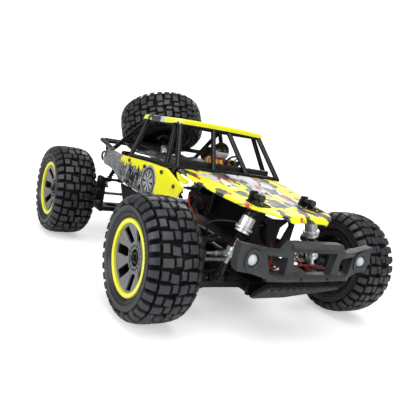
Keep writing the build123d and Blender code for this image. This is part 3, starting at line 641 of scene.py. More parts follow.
# ---------------------------------------------------------------- tyre, about the wheel centre, +Y outboard
# Outer half section: radius, y
TYRE_OUTLINE = [(57.4, 0.0), (57.4, 7.0), (57.2, 10.6), (56.5, 15.5), (55.4, 19.4),
                (53.6, 22.2), (51.4, 24.3), (48.6, 25.8), (45.6, 26.3), (43.0, 25.9)]
OUTLINE_LENGTHS = [0.0]
for (radius0, y0), (radius1, y1) in zip(TYRE_OUTLINE, TYRE_OUTLINE[1:]):
    OUTLINE_LENGTHS.append(OUTLINE_LENGTHS[-1] + hypot(radius1 - radius0, y1 - y0))
# Depth of the carcass under the outline: distance along it, depth
CARCASS_DEPTH = [(0, 4.1), (14, 4.1), (20, 6.2), (25, 5.6), (31, 1.4), (40, 0.5)]
# Sidewall and bead: radius, y
SIDEWALL = [(42.0, 25.1), (41.2, 25.3), (40.6, 24.6), (39.2, 23.8), (38.4, 23.9), (37.6, 23.0),
            (36.6, 21.4), (36.0, 20.55), (32.2, 20.5), (32.2, 15.0)]
LUG_HEIGHT = 4.1
LUG_PITCH = 2 * pi / 32
# Tread lugs of even and odd rows: start and end across, start and end in pitches, skew, sink
TREAD_ROWS = [
    [(-17.0, -8.0, 0.00, 0.76, 0.0, 1.6), (-6.4, -1.2, 0.08, 0.80, 0.0, 0.3),
     (0.6, 8.6, -0.14, 0.60, 0.03, 0.3), (10.2, 17.0, 0.06, 0.82, 0.0, 1.6)],
    [(-17.0, -11.4, 0.02, 0.78, 0.0, 1.6), (-9.8, -2.2, -0.06, 0.70, -0.03, 0.3),
     (-0.6, 5.0, 0.08, 0.80, 0.0, 0.3), (6.6, 17.0, 0.00, 0.74, 0.0, 1.6)],
]


def polar(radius, y, angle):
    return (radius * cos(angle), y, radius * sin(angle))


def outline_at(s):
    """Radius, y and outward normal at signed distance s along the outline from its middle."""
    side = 1 if s >= 0 else -1
    s = min(abs(s), OUTLINE_LENGTHS[-1] - 1e-6)
    i = next(i for i, end in enumerate(OUTLINE_LENGTHS[1:]) if s <= end)
    t = (s - OUTLINE_LENGTHS[i]) / (OUTLINE_LENGTHS[i + 1] - OUTLINE_LENGTHS[i])
    (r0, y0), (r1, y1) = TYRE_OUTLINE[i:i + 2]
    before = TYRE_OUTLINE[max(i - 1, 0)]
    after = TYRE_OUTLINE[min(i + 2, len(TYRE_OUTLINE) - 1)]
    dr, dy = after[0] - before[0], after[1] - before[1]
    size = hypot(dr, dy)
    return r0 + (r1 - r0) * t, (y0 + (y1 - y0) * t) * side, dy / size, -dr / size * side


def lug(shape, start, end, angle0, angle1, skew=0.0, sink=0.3, height_at=lambda s: 1.0):
    """Block with softened edges between two distances along the outline and two angles."""
    steps = max(2, int(abs(end - start) / 2.5))
    # Distance along the outline, share of the full height
    stations = ([(start, 0.0), (start + 0.22, 0.84), (start + 0.65, 1.0)]
                + [(start + (end - start) * i / steps, 1.0) for i in range(1, steps)]
                + [(end - 0.65, 1.0), (end - 0.22, 0.84), (end, 0.0)])
    rows = []
    for s, share in stations:
        radius, y, normal_r, normal_y = outline_at(s)
        height = LUG_HEIGHT * height_at(s)
        turn = skew * ((s - start) / (end - start) - 0.5)
        near, far = 0.25 / radius, 0.75 / radius
        row = []
        for angle, side_share in (
                (angle0, 0.0), (angle0 + near, 0.84), (angle0 + far, 1.0),
                ((angle0 + angle1) / 2, 1.0),
                (angle1 - far, 1.0), (angle1 - near, 0.84), (angle1, 0.0)):
            level = min(share, side_share)
            lift = (height * level if level > 0 else -sink) - LUG_HEIGHT
            row.append(polar(radius + normal_r * lift, y + normal_y * lift, angle + turn))
        rows.append(row)
    shape.grid(rows)


def shoulder_height(s):
    return 1.0 if abs(s) < 28.5 else max(0.55, 1 - (abs(s) - 28.5) / 6.5)


def build_tyre():
    """Slot 0 lugs and sidewalls, 1 tread base in a darker rubber, painted shade between the lugs."""
    shape = Shape()
    half = []
    for s in spread(0, OUTLINE_LENGTHS[-1], 32):
        radius, y, normal_r, normal_y = outline_at(s)
        depth = lerp(CARCASS_DEPTH, s)
        half.append((radius - normal_r * depth, y - normal_y * depth))
    half += SIDEWALL
    profile = [(radius, -y) for radius, y in reversed(half[1:])] + half
    middle = len(half) - 1
    slots = [1 if abs(k + 0.5 - middle) < 29 else 0 for k in range(len(profile) - 1)]
    shape.revolve(profile, 136, slots)
    for i in range(32):
        base = i * LUG_PITCH
        for start, end, turn0, turn1, skew, sink in TREAD_ROWS[i % 2]:
            lug(shape, start, end, base + turn0 * LUG_PITCH, base + turn1 * LUG_PITCH, skew, sink)
        # Shoulder lugs, long and short by turns
        for side, turn in ((-1, -0.12), (1, 0.16)):
            reach = 31.5 if (i + (side > 0)) % 2 == 0 else 29.4
            start, end = sorted((side * 18.6, side * reach))
            angle = base + turn * LUG_PITCH
            lug(shape, start, end, angle, angle + 0.66 * LUG_PITCH, sink=2.6,
                height_at=shoulder_height)
    # Ring of short ribs on each sidewall
    for angle in angles(64):
        for side in (-1, 1):
            p0, p1, p2, p3 = [Vector(polar(radius, side * (y + 0.35), angle + turn))
                              for radius, y in ((38.9, 23.7), (40.9, 25.05))
                              for turn in (-0.011, 0.011)]
            top = [p0, p1, p3, p2]
            shape.add(top + [p - Vector((0, side * 1.2, 0)) for p in top],
                      [(0, 1, 2, 3), (0, 4, 5, 1), (1, 5, 6, 2), (2, 6, 7, 3), (3, 7, 4, 0)])
    return shape


# ---------------------------------------------------------------- rim, about the wheel centre, +Y outboard
SPOKES = 7
SLOT_COLUMNS, SPOKE_COLUMNS = 4, 10
FACE_RADII = [7.6, 9.0, 11.0, 13.4, 14.4, 15.4, 16.4, 18.5, 21.0, 24.0, 27.0, 28.6, 30.4]


def hexagon(radius, y, turn=0.0):
    return [polar(radius, y, a + turn) for a in angles(6)]


def build_barrel():
    """Barrel, bead ring, hub ring and bolts: slot 0 grey, 1 black as painted shade inside the rim, 2
    yellow, 4 black oxide.
    """
    shape = Shape()
    # Yellow bead ring with a stepped face
    shape.revolve([(30.5, 19.6), (30.5, 21.7), (31.0, 22.25), (31.8, 22.5), (34.0, 22.5),
                   (34.6, 22.2), (34.8, 21.6), (34.8, 20.55), (32.0, 20.5)], 96, 2)
    # Barrel, black as painted shade behind the slots
    shape.revolve([(31.9, 20.6), (31.9, -20.5), (35.2, -20.6), (35.2, -22.0), (34.4, -22.5),
                   (30.4, -22.5), (29.6, -21.8), (29.4, -19.0), (29.4, 10), (29.8, 16.0),
                   (30.2, 19.7)], 96, 1)
    # Outer hub ring, recess round the nut in black as painted shade, and the recess lip
    shape.revolve([(13.0, 14.5), (13.2, 15.2), (12.6, 15.5), (11.9, 15.2), (11.8, 14.55)], 72)
    shape.revolve([(7.7, 14.7), (7.4, 14.5), (7.0, 12.4), (5.2, 12.2), (5.0, 14.4),
                   (3.6, 14.5)], 48, 1)
    shape.revolve([(7.7, 14.6), (8.3, 15.3), (8.9, 15.2), (9.0, 14.6)], 64)
    for angle in angles(14, 0.5):
        shape.revolve([(1.05, 0), (1.05, 0.7), (0.75, 1.0), (0.45, 1.0), (0.40, 0.5), (0, 0.5)],
                      12, 4, origin=polar(10.4, 14.5, angle))
    # Raised rib along the middle of each spoke
    lift = Vector((0, 0.35, 0))
    for angle in angles(SPOKES, 0.5):
        inner = Vector(polar(14.0, 14.7, angle))
        outer = Vector(polar(27.5, 19.0, angle))
        across = Vector((-sin(angle), 0, cos(angle)))
        shape.add([inner - across * 0.35, inner + across * 0.35,
                   outer + across * 0.5, outer - across * 0.5,
                   inner - across * 0.2 + lift, inner + across * 0.2 + lift,
                   outer + across * 0.3 + lift, outer - across * 0.3 + lift], TOP_AND_SIDES)
    return shape


def build_face():
    """Coned wheel face with a slot between each pair of spokes."""
    rows = []
    for radius in FACE_RADII:
        y = 14.6 + max(0.0, radius - 13.4) * 5.2 / 17.0
        at = max(radius, 14.4)
        half_width = 2.9 + (at - 14.4) * 0.7 if at < 16.4 else 4.3 + (at - 16.4) * 0.03
        half_angle = asin(half_width / at)
        gap = 2 * pi / SPOKES - 2 * half_angle
        turns = []
        for centre in angles(SPOKES):
            turns += [centre - half_angle + 2 * half_angle * j / SLOT_COLUMNS
                      for j in range(SLOT_COLUMNS)]
            turns += [centre + half_angle + gap * j / SPOKE_COLUMNS
                      for j in range(SPOKE_COLUMNS)]
        turns.append(turns[0] + 2 * pi)
        rows.append([polar(radius, y, turn) for turn in turns])

    def in_slot(i, j):
        return (j % (SLOT_COLUMNS + SPOKE_COLUMNS) < SLOT_COLUMNS
                and FACE_RADII[i] >= 14.3 and FACE_RADII[i + 1] <= 28.7)

    return Shape().grid(rows, skip=in_slot)


def build_nut():
    shape = Shape().prism(hexagon(3.9, 14.4, turn=0.3), (0, 3.4, 0))
    shape.revolve([(0, 19.6), (1.7, 19.6), (2.3, 19.0), (2.3, 17.0)], 20, 1)
    return shape.revolve([(5.0, 14.3), (5.0, 14.9), (4.7, 15.1), (3.5, 15.1)], 36, 1)


def build_hub():
    """Hub, webs, hexagon and axle cup inside the rim: slot 0 plastic, black as painted shade behind the
    slots, 1 steel.
    """
    shape = Shape().revolve([(13.0, 14.0), (10.0, 11.5), (9.2, 6.0), (9.0, -19.0), (8.6, -19.5),
                             (6.6, -19.5)], 48)
    for angle in angles(SPOKES, 0.5):
        half = Vector((-sin(angle), 0, cos(angle))) * 0.8
        web = [(8.6, 13.6), (28.8, 16.5), (29.2, 2.0), (8.8, -8.0)]
        shape.prism([Vector(polar(radius, y, angle)) - half for radius, y in web], half * 2)
    shape.prism(hexagon(6.9, 103 - WHEEL_Y), (0, 6.2, 0), 1)
    # Axle cup: radius, distance from the truck's centreline
    cup = [(2.5, 103), (2.5, 91.2), (5.4, 91.0), (6.8, 90), (6.8, 79.6), (6.4, 79.0),
           (5.2, 79.0), (5.2, 88.6), (0, 89)]
    return shape.revolve([(radius, y - WHEEL_Y) for radius, y in cup], 40, 1)


TYRE, BARREL, FACE, NUT, HUB = build_tyre(), build_barrel(), build_face(), build_nut(), build_hub()


def wheel(tag, place, body, slot, phase):
    """A whole wheel; gives back its tyre and its barrel."""
    place = place @ Matrix.Rotation(phase, 4, "Y")
    tyre = put("tyre_tread_" + tag, TYRE.moved(place), [RUBBER, RUBBER_GROOVE_SHADE], body, slot,
               sharp=40)
    rim = "rim_" + tag
    barrel = put(rim + "_bead", BARREL.moved(place), [RIM_GREY, RIM_SHADE_BLACK, YELLOW, STEEL, OXIDE],
                 body)
    put(rim + "_spokes", FACE.moved(place), [RIM_GREY], body, solid=2.0, bevel=0.28, sharp=40)
    put(rim + "_nut", NUT.moved(place), [OXIDE, OXIDE], body, bevel=0.25)
    put(rim + "_hub", HUB.moved(place), [RIM_SHADE_BLACK, STEEL], body, bevel=0.2)
    return tyre, barrel


WHEEL_PHASES = {"fl": 0.3, "fr": pi, "rl": 1.1, "rr": pi}
for corner, (sx, sy) in CORNERS.items():
    place = (Matrix.Translation((WHEEL_X * sx, WHEEL_Y * sy, WHEEL_Z))
             @ Matrix.Diagonal((1, sy, 1, 1)))
    tyre, barrel = wheel(corner, place, "wheel_" + corner, "tyre", WHEEL_PHASES[corner])
    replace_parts(tyre, "tyre_" + corner)
    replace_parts(barrel, "rim_" + corner)

# Spare: its axle leans 34 degrees back from upright
SPARE_X, SPARE_Z = -135, 163.5
lean_x, lean_z = sin(radians(-34)), cos(radians(-34))
place = Matrix(((lean_z, lean_x, 0, SPARE_X), (0, 0, 1, 0),
                (-lean_x, lean_z, 0, SPARE_Z), (0, 0, 0, 1)))
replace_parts(wheel("spare", place, "chassis", "spare_wheel", 0.4)[0], "spare_wheel")


# ---------------------------------------------------------------- dampers and springs
DAMPER_X = WHEEL_X + 20.5
# Front and rear: upper eye (y, z), lower eye (y, z)
DAMPER_EYES = {"f": ((33.0, 126.0), (61.0, 47.0)), "r": ((40.0, 114.0), (70.0, 48.0))}


def eye(shape, centre, inner, outer, width):
    """Ring about the X axis."""
    soft = min(0.5, (outer - inner) * 0.3)
    half = width / 2
    shape.revolve([(inner, -half), (outer - soft, -half), (outer, soft - half),
                   (outer, half - soft), (outer - soft, half), (inner, half)],
                  28, 1, centre, (1, 0, 0), closed=True)


def notched_ring(shape, origin, axis, low, high, radius, count, depth, mat, duty):
    """Prism round the axis with teeth; duty is the share of each pitch a tooth takes."""
    axis, first, second = axes_about(axis)
    tooth = 2 * pi / count * duty
    outline = []
    for start in angles(count):
        for share, r in ((0, radius - depth), (0.06, radius), (0.5, radius), (0.94, radius),
                         (1, radius - depth)):
            angle = start + share * tooth
            outline.append(origin + axis * low + first * (r * cos(angle))
                           + second * (r * sin(angle)))
    shape.prism(outline, axis * (high - low), mat)


def damper(corner, sx, sy):
    """Body, rod and coil; heights run down the axis from the upper eye."""
    front = corner[0] == "f"
    (top_y, top_z), (bottom_y, bottom_z) = DAMPER_EYES[corner[0]]
    top = Vector((DAMPER_X * sx, top_y * sy, top_z))
    bottom = Vector((DAMPER_X * sx, bottom_y * sy, bottom_z))
    length = (bottom - top).length
    axis = (bottom - top).normalized()
    cap = 21.0 if front else 12.0
    cap_mat = 0 if front else 1
    seat = 53.0 if front else length - 20.5
    # The body ends clear of the seat at full bump; the rod stays inside it at full droop
    body_end = seat - (9.1 if front else 10.9)
    rod_start = body_end - (4.4 if front else 5.2)

    shape = Shape()

    def turned(profile, segments, mat):
        shape.revolve(profile, segments, mat, top, axis)

    eye(shape, top, 1.6, 3.7, 4.4)
    turned([(0, 3.0), (2.6, 3.0), (2.8, 4.6), (4.6, 5.0), (5.4, 7.0), (5.4, cap - 1.5),
            (4.8, cap - 0.6)], 36, 1)
    turned([(4.8, cap - 0.8), (5.4, cap - 0.6), (5.9, cap + 0.1)], 44, cap_mat)
    notched_ring(shape, top, axis, cap, cap + 8.9, radius=6.5, count=9, depth=0.8,
                 mat=cap_mat, duty=0.80)
    # Collars under the cap: radius, height below the cap's start
    collars = [(5.6, 8.7), (5.6, 9.6), (8.0, 9.7), (8.6, 10.2), (8.6, 12.0), (8.0, 12.6),
               (6.0, 12.7), (6.0, 13.3), (7.2, 13.5), (7.4, 14.0), (7.4, 15.2), (7.0, 15.6),
               (3.0, 15.8)]
    turned([(radius, cap + height) for radius, height in collars], 44, cap_mat)
    thread = []
    height = cap + 15.6
    while height < body_end - 1.6:
        thread += [(2.35, height), (2.6, height + 0.35), (2.35, height + 0.7)]
        height += 0.7
    turned(thread + [(2.6, body_end - 0.9), (2.8, body_end - 0.7), (2.8, body_end - 0.2),
                     (1.75, body_end)], 24, 1)
    name = "damper_body_"
    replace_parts(put(name + "detail_" + corner, shape, [SILVER, SATIN], name + corner,
                    "damper_body", sharp=30), name + corner)

    shape = Shape()
    turned([(0, rod_start), (1.6, rod_start), (1.6, length - 12.0), (2.4, length - 12.0)], 20, 0)
    if front:
        # Spring seat: radius, height below its start
        rings = [(1.6, 0), (5.6, 0), (6.1, 0.5), (6.1, 3.2), (5.6, 3.7), (4.4, 3.8), (4.4, 4.6),
                 (5.6, 4.8), (6.1, 5.3), (6.1, 8.0), (5.6, 8.5), (2.6, 8.7), (1.9, 9.6)]
        turned([(radius, seat + height) for radius, height in rings]
               + [(1.9, length - 15.5), (3.0, length - 15.0)], 40, 0)
        notched_ring(shape, top, axis, seat + 5.2, seat + 7.9, radius=6.3, count=10,
                     depth=0.45, mat=0, duty=0.62)
        turned([(3.0, length - 15.2), (3.6, length - 14.4), (3.6, length - 4.2),
                (1.5, length - 3.8)], 24, 1)
    else:
        rings = [(1.6, 0), (5.4, 0), (5.8, 0.5), (5.8, 2.6), (5.3, 3.2), (3.4, 3.6), (2.2, 5)]
        turned([(radius, seat + height) for radius, height in rings]
               + [(2.2, length - 13), (3.4, length - 12), (3.4, length - 4.2),
                  (1.5, length - 3.8)], 36, 1)
    eye(shape, bottom, 2.65, 5.0, 4.0)
    name = "damper_rod_"
    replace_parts(put(name + "detail_" + corner, shape, [SILVER, SATIN], name + corner,
                    "damper_rod", sharp=30), name + corner)

    # Coil, with its end turns closed up
    first = axis.cross(Vector((1, 0, 0))).normalized()
    second = axis.cross(first)
    turns = 6.0 if front else 7.0
    start, end = cap + 16.4, seat - 0.6
    path = []
    for t in spread(0, 1, int(turns * 22)):
        angle = 2 * pi * turns * t * sy
        path.append(top + axis * (start + (end - start) * clamp((t - 0.06) / 0.88))
                    + first * (3.5 * cos(angle)) + second * (3.5 * sin(angle)))
    coil = link("coil_" + corner, Shape().tube(path, 0.5, 8).mesh("coil_" + corner, [SATIN]))
    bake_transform(coil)
    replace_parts(coil, "spring_" + corner)


for corner, (sx, sy) in CORNERS.items():
    damper(corner, sx, sy)


# ---------------------------------------------------------------- hood
# Centreline: x, z
HOOD_HEIGHT = [(60, 131.6), (85, 127.8), (102, 125.6), (130, 122.4), (157, 120.2),
               (180, 119.4), (190, 118.2), (195.5, 116.2)]
# x, half width
HOOD_WIDTH = [(60, 72.6), (88, 71.8), (112, 66.5), (140, 60.5), (160, 55.5), (176, 46.5),
              (186, 37), (193, 26), (195.5, 21)]
HOOD_STATIONS = [60, 61, 66, 72, 78, 85, 92, 100, 108, 116, 124, 131, 137, 142.5, 147, 152, 157,
                 162, 167.5, 172, 177, 182, 187, 190, 192.5, 194.5, 195.6]
OPENING_X, OPENING_Y = 157, 34.0


def hood_point(x, across):
    """across runs from -1 at the right edge to 1 at the left."""
    width = lerp(HOOD_WIDTH, x)
    out = abs(across)
    y = across * width
    z = lerp(HOOD_HEIGHT, x) - 0.9 * out * out
    # A rounded rib each side, then the raised centre panel
    z += (exp(-((out - 0.42) / 0.07) ** 2) * 1.3 * min(1, (x - 62) / 25.0)
          * clamp((150 - x) / 25.0))
    z += clamp(1 - (out - 0.16) / 0.06) * clamp((x - 70) / 8.0) * clamp((180 - x) / 10.0)
    if out > 0.93:
        z -= (out - 0.93) / 0.07 * 1.5
        y = copysign(width * (0.93 + (out - 0.93) * 0.55), across)
    if x > 190:
        z -= (x - 190) ** 2 * 0.05
    return (x, y, z)


hood_rows = [[hood_point(x, across) for across in spread(-1, 1, 60)] for x in HOOD_STATIONS]


def in_hood_opening(i, j):
    x = (HOOD_STATIONS[i] + HOOD_STATIONS[i + 1]) / 2
    y = abs((hood_rows[i][j][1] + hood_rows[i][j + 1][1]) / 2)
    return 147 <= x <= 166 and 26.5 < y < 41.5 - (x - 147) * 0.10


hood = put("hood_film", Shape().grid(hood_rows, skip=in_hood_opening), [FILM_HOOD],
           slot="hood_panel", solid=1.3, bevel=0.35, sharp=50)
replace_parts(hood, "hood_panel")

# Flap below each rear corner of the hood; lower edge: x, z
FLAP_BOTTOM = [(60, 125.0), (66, 119.0), (80, 117.5), (87, 121.0)]
for side, label in SIDES:
    rows = []
    for x in (60, 64, 70, 76, 82, 87):
        top, bottom = lerp(HOOD_HEIGHT, x) - 4.6, lerp(FLAP_BOTTOM, x)
        rows.append([(x, side * (71.2 - 0.6 * sin(pi * t)), top + (bottom - top) * t)
                     for t in spread(0, 1, 5)])
    put("hood_corner_" + label, Shape().grid(rows), [FILM_ROOF], slot="hood_panel",
        solid=1.2, bevel=0.3, offset=0)

# Round trim along the edge of each hood opening
for side, label in SIDES:
    path = []
    for angle in angles(24):
        x = OPENING_X + 10.6 * clamp(1.25 * cos(angle), -1)
        y = side * (OPENING_Y + 8.2 * clamp(1.25 * sin(angle), -1))
        path.append((x, y, lerp(HOOD_HEIGHT, x) - 0.1))
    put("hood_opening_trim_" + label, Shape().tube(path, 0.9, 8, closed=True), [BLACK],
        slot="hood_panel")

# ---------------------------------------------------------------- side and tail panels
# x, z
SIDE_TOP = [(-66, 123.2), (-20, 124.6), (39, 126.6), (44, 126.0), (85, 114.9), (86, 114)]
SIDE_BOTTOM = [(-66, 90.5), (-57, 86.4), (10, 86.2), (22, 86.8), (58, 94), (75, 101.8),
               (85, 113.6), (86, 114)]
SIDE_STATIONS = [-66, -62, -57, -48, -38, -28, -18, -8, 2, 12, 22, 32, 39, 44, 52, 58, 66, 75,
                 80, 83, 85.6]
# Distance behind the origin, z
TAIL_TOP = [(66, 120.0), (100, 118.5), (150, 117.5), (168, 116.8), (174, 115.2),
            (177.4, 110.0), (178.2, 103)]
TAIL_BOTTOM = [(66, 88.0), (88, 88.3), (98, 90.5), (118, 94.5), (150, 94.5), (168, 93.4),
               (175, 94.4), (178.2, 98)]
# Distance behind the origin, half width
TAIL_WIDTH = [(66, 73.9), (90, 71.4), (150, 63.8), (192.6, 58.6)]
TAIL_END_Y = 58.5


def side_rows(side):
    rows = []
    for x in SIDE_STATIONS:
        top, bottom = lerp(SIDE_TOP, x), lerp(SIDE_BOTTOM, x)
        row = []
        for t in spread(0, 1, 12):
            z = bottom + (top - bottom) * t
            y = 73.9 + 1.5 * sin(pi * clamp((z - 86) / 40)) - 1.6 * max(0, (t - 0.88) / 0.12) ** 2
            # Slanting crease
            y -= 0.9 * exp(-((z - 108 + 0.08 * x) / 1.4) ** 2)
            row.append((x, side * y, z))
        rows.append(row)
    return rows


def tail_rows(side):
    rows = []
    for back in spread(66, 178.1, 26):
        top, bottom = lerp(TAIL_TOP, back), lerp(TAIL_BOTTOM, back)
        rows.append([(-back,
                      side * (lerp(TAIL_WIDTH, back) + 1.0 * sin(pi * t)
                              - 3.2 * max(0, (t - 0.8) / 0.2) ** 2),
                      bottom + (top - bottom) * t) for t in spread(0, 1, 8)])
    return rows


for side, label in SIDES:
    put("side_film_" + label, Shape().grid(side_rows(side)), [FILM_SIDE], slot="cage_panels",
        solid=1.3, bevel=0.35, sharp=50, offset=side)
    put("tail_film_" + label, Shape().grid(tail_rows(side)), [FILM_TAIL], slot="cage_panels",
        solid=1.3, bevel=0.35, sharp=50, offset=-side)
    # Upright ring on a block at the tail corner
    ring_y = side * TAIL_END_Y
    ring = Shape().tube([(-186.6 + 8.6 * cos(a), ring_y, 103.0 + 6.2 * sin(a))
                         for a in angles(32)], 1.6, 10, closed=True)
    ring.box((-180.5, ring_y - 1.8, 97.6), (-174.5, ring_y + 1.8, 108.4))
    put("tail_ring_" + label, ring, [SATIN], slot="cage_panels", bevel=0.3)

rows = []
for y in spread(-TAIL_END_Y, TAIL_END_Y, 20):
    x = -180.5 + 4.0 * (abs(y) / TAIL_END_Y) ** 8
    rows.append([(x + 2.5, y, 93.5), (x + 0.4, y, 95.0), (x, y, 98), (x, y, 102),
                 (x + 0.6, y, 104.4), (x + 3.4, y, 105.6)])
put("tail_cross_member", Shape().grid(rows), [BLACK], slot="cage_panels", solid=1.6, bevel=0.4,
    offset=0)

# ---------------------------------------------------------------- roof
# x, z
ROOF_TOP = [(-68.5, 176.3), (22, 180.3)]
ROOF_SKIRT = [(-68.5, 171.4), (-40, 171.6), (5, 174.2), (16, 176.2), (22, 177.6)]
rows = []
for x in (-68.5, -67.5, -62, -50, -35, -20, -5, 8, 16, 20.4, 21.8, 22.0):
    # The front and rear edges turn down
    drop = 0.0
    if x > 21:
        drop = 1.4 if x < 21.9 else 4.4
    if x < -68:
        drop = 2.0
    row = []
    for across in spread(-1, 1, 32):
        y, z = 58.0 * across, lerp(ROOF_TOP, x) + 0.9 * (1 - across * across)
        if abs(across) > 0.96:
            y, z = copysign(58.3, across), lerp(ROOF_TOP, x) - 1.0
        row.append((min(x, 21.6), y, z - drop))
    skirt = lerp(ROOF_SKIRT, x)
    rows.append([(row[0][0], -58.5, skirt)] + row + [(row[-1][0], 58.5, skirt)])
roof = put("roof_film", Shape().grid(rows), [FILM_ROOF], slot="cage_panels", solid=1.2,
           bevel=0.35, sharp=50, offset=1)
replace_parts(roof, "cage_panels")


# ---------------------------------------------------------------- cockpit
SEAT_Y = 22


def cockpit(name, shape, mats, **options):
    return put(name, shape, mats, slot="cockpit_insert", **options)


# Deck: rippled, raised towards the sides, dished round the driver
rows = []
for x in spread(-63, 44, 33):
    row = []
    for y in spread(-67.0, 67.0, 40):
        z = (131.4 + 1.1 * sin(x * 0.16 + y * 0.05) * cos(y * 0.13)
             + 2.2 * exp(-((abs(y) - 44) / 9) ** 2))
        if -24 < x < 24 and abs(y - SEAT_Y) < 17:
            z -= 1.6
        row.append((x, y, min(z, 134.2)))
    rows.append(row)
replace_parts(cockpit("cockpit_deck", Shape().grid(rows), [DECK], solid=1.6, sharp=60),
            "cockpit_insert")

# Dash wall with a rolled top and round bosses; section: x, z
DASH_SECTION = [(46.6, 129.2), (46.8, 137.4), (46.0, 139.0), (44.0, 139.6), (41.5, 139.0),
                (40.8, 137.0), (42.6, 136.4), (43.4, 131.0), (43.4, 129.2)]
dash = Shape().prism([(x, -61.5, z) for x, z in DASH_SECTION], (0, 123, 0))
for y in (-40, -28, -16, 8, 36):
    dash.revolve([(2.6, 0), (2.6, 1.0), (2.0, 1.2), (1.8, 0.7), (0, 0.7)], 20,
                 origin=(41.4, y, 137.2), axis=(-0.8, 0, 0.35))
cockpit("dash_wall", dash, [BLACK], bevel=0.5)

rows = [[(x, y, lerp([(46.6, 131.6), (61, 130.6)], x) - 0.0004 * y * y)
         for y in range(-68, 69, 8)] for x in (46.6, 50, 54, 58, 61)]
put("cowl_sheet", Shape().grid(rows), [FILM_HOOD], slot="hood_panel", solid=1.0)

# Seat, from the top of the back to the front of the cushion: x, z, half width, bulge
SEAT_STATIONS = [(-35.5, 151.5, 7, 0), (-35, 150, 9.5, 1.0), (-34, 146, 12.0, 2.2),
                 (-32.5, 141, 13.5, 3.0), (-30.5, 136.6, 14.5, 3.0), (-27, 134.4, 15.0, 2.0),
                 (-18, 133.4, 15, 1.5), (-8, 133.6, 14.5, 1.5), (-2, 134.4, 13, 0.8)]
rows = [[(x - 0.4 * bulge * cos(pi / 2 * t) + abs(t) ** 3 * 2.4, SEAT_Y + width * t,
          z + abs(t) ** 3 * 1.6) for t in spread(-1, 1, 8)]
        for x, z, width, bulge in SEAT_STATIONS]
cockpit("seat_driver", Shape().grid(rows), [BLACK], solid=2.2, subdivide=1, sharp=0)

# ---------------------------------------------------------------- driver
HEAD = Vector((-5, SEAT_Y, 150.7))
HELMET_ROWS, HELMET_COLUMNS = 28, 40
HELMET_FLOOR = -1.25  # lowest latitude, radians


def ellipsoid(latitude, longitude, radius_x, radius_y, radius_z):
    return (radius_x * cos(latitude) * cos(longitude),
            radius_y * cos(latitude) * sin(longitude), radius_z * sin(latitude))


def in_visor_opening(i, j):
    latitude = HELMET_FLOOR + (pi / 2 - HELMET_FLOOR) * (i + 0.5) / HELMET_ROWS
    longitude = 2 * pi * (j + 0.5) / HELMET_COLUMNS
    if longitude >= pi:
        longitude -= 2 * pi
    return abs(longitude) < 1.12 and 0.0 < latitude < 0.48


rows = []
for latitude in spread(HELMET_FLOOR, pi / 2, HELMET_ROWS):
    row = []
    for longitude in spread(0, 2 * pi, HELMET_COLUMNS):
        x, y, z = ellipsoid(latitude, longitude, 11.2, 9.9, 11.0)
        if z < -2:
            x += max(0.0, cos(longitude)) ** 2 * 1.6
        if z < -8:
            z = -8 - (z + 8) * 0.2
        row.append((HEAD.x + x, HEAD.y + y, HEAD.z + z))
    rows.append(row)
helmet = Shape().grid(rows, skip=in_visor_opening)
# White below, black above
for k, face in enumerate(helmet.faces):
    middle = sum(helmet.points[i][2] for i in face) / len(face) - HEAD.z
    helmet.slots[k] = 1 if middle > 0.2 else 0
cockpit("driver_helmet", helmet, [HELMET_WHITE, HELMET_BLACK], solid=0.9, sharp=50)

rows = [[HEAD + Vector(ellipsoid(latitude, longitude, 10.9, 9.6, 10.8))
         for longitude in spread(-1.25, 1.25, 18)] for latitude in spread(-0.06, 0.56, 8)]
cockpit("driver_visor", Shape().grid(rows), [HELMET_BLACK], solid=0.5)

# Torso, arms and gloves under a red neck collar; torso sections: z, half length, half width
TORSO = [(132.5, 12.0, 15.0), (135, 12.6, 16.4), (137.6, 12.2, 17.4), (139.4, 10.6, 16.4),
         (140.8, 8.0, 12.6), (141.4, 5.0, 7.0)]


def squared(t):
    """Flatten a sine or cosine towards a rounded square."""
    return copysign(abs(t) ** 0.75, t)


body = Shape().revolve([(0, 0), (7.4, 0.2), (7.9, 1.6), (7.0, 3.6), (5.8, 4.0), (5.6, 6.0),
                        (0, 6)], 32, 1, (HEAD.x - 0.5, HEAD.y, 139.0), (0.05, 0, 1))
body.grid([[(-7 + half_x * squared(cos(a)), SEAT_Y + half_y * squared(sin(a)), z)
            for a in spread(0, 2 * pi, 32)] for z, half_x, half_y in TORSO])
for side in (-1, 1):
    arm = [(-6, 15.5, 138.5), (3, 17.5, 136.6), (12, 14.5, 136.8), (20, 9.5, 140.0)]
    body.tube(catmull([(x, SEAT_Y + side * y, z) for x, y, z in arm], 5),
              [4.6] * 5 + [4.2] * 5 + [3.4] * 6, 12)
    body.revolve([(0, -3.0), (2.2, -2.6), (3.3, -0.8), (3.2, 1.4), (1.8, 2.8), (0, 3.1)], 16, 2,
                 (21.5, SEAT_Y + side * 9.0, 140.6), (0.4, 0, 0.9))
cockpit("driver_torso", body, [SUIT, WIRE_RED, WIRE_BLACK], sharp=60)

# Steering wheel and column
STEERING_CENTRE = Vector((24, SEAT_Y, 141.5))
tilt = Matrix.Rotation(radians(-62), 3, "Y")


def on_steering_wheel(radius, angle):
    return STEERING_CENTRE + tilt @ Vector((radius * cos(angle), radius * sin(angle), 0))


steering = Shape().tube([on_steering_wheel(9, a) for a in angles(32)], 1.15, 8, closed=True)
for angle in (0.5, 2.64, 4.71):
    steering.tube([STEERING_CENTRE, on_steering_wheel(8.8, angle)], 0.9, 6)
steering.tube([STEERING_CENTRE, (43, SEAT_Y, 134.5)], 1.5, 10)
steering.revolve([(0, -1), (3, -0.8), (3.2, 0.6), (0, 1.2)], 18, 0, STEERING_CENTRE,
                 tilt @ Vector((0, 0, 1)))
cockpit("driver_wheel", steering, [BLACK], sharp=45)

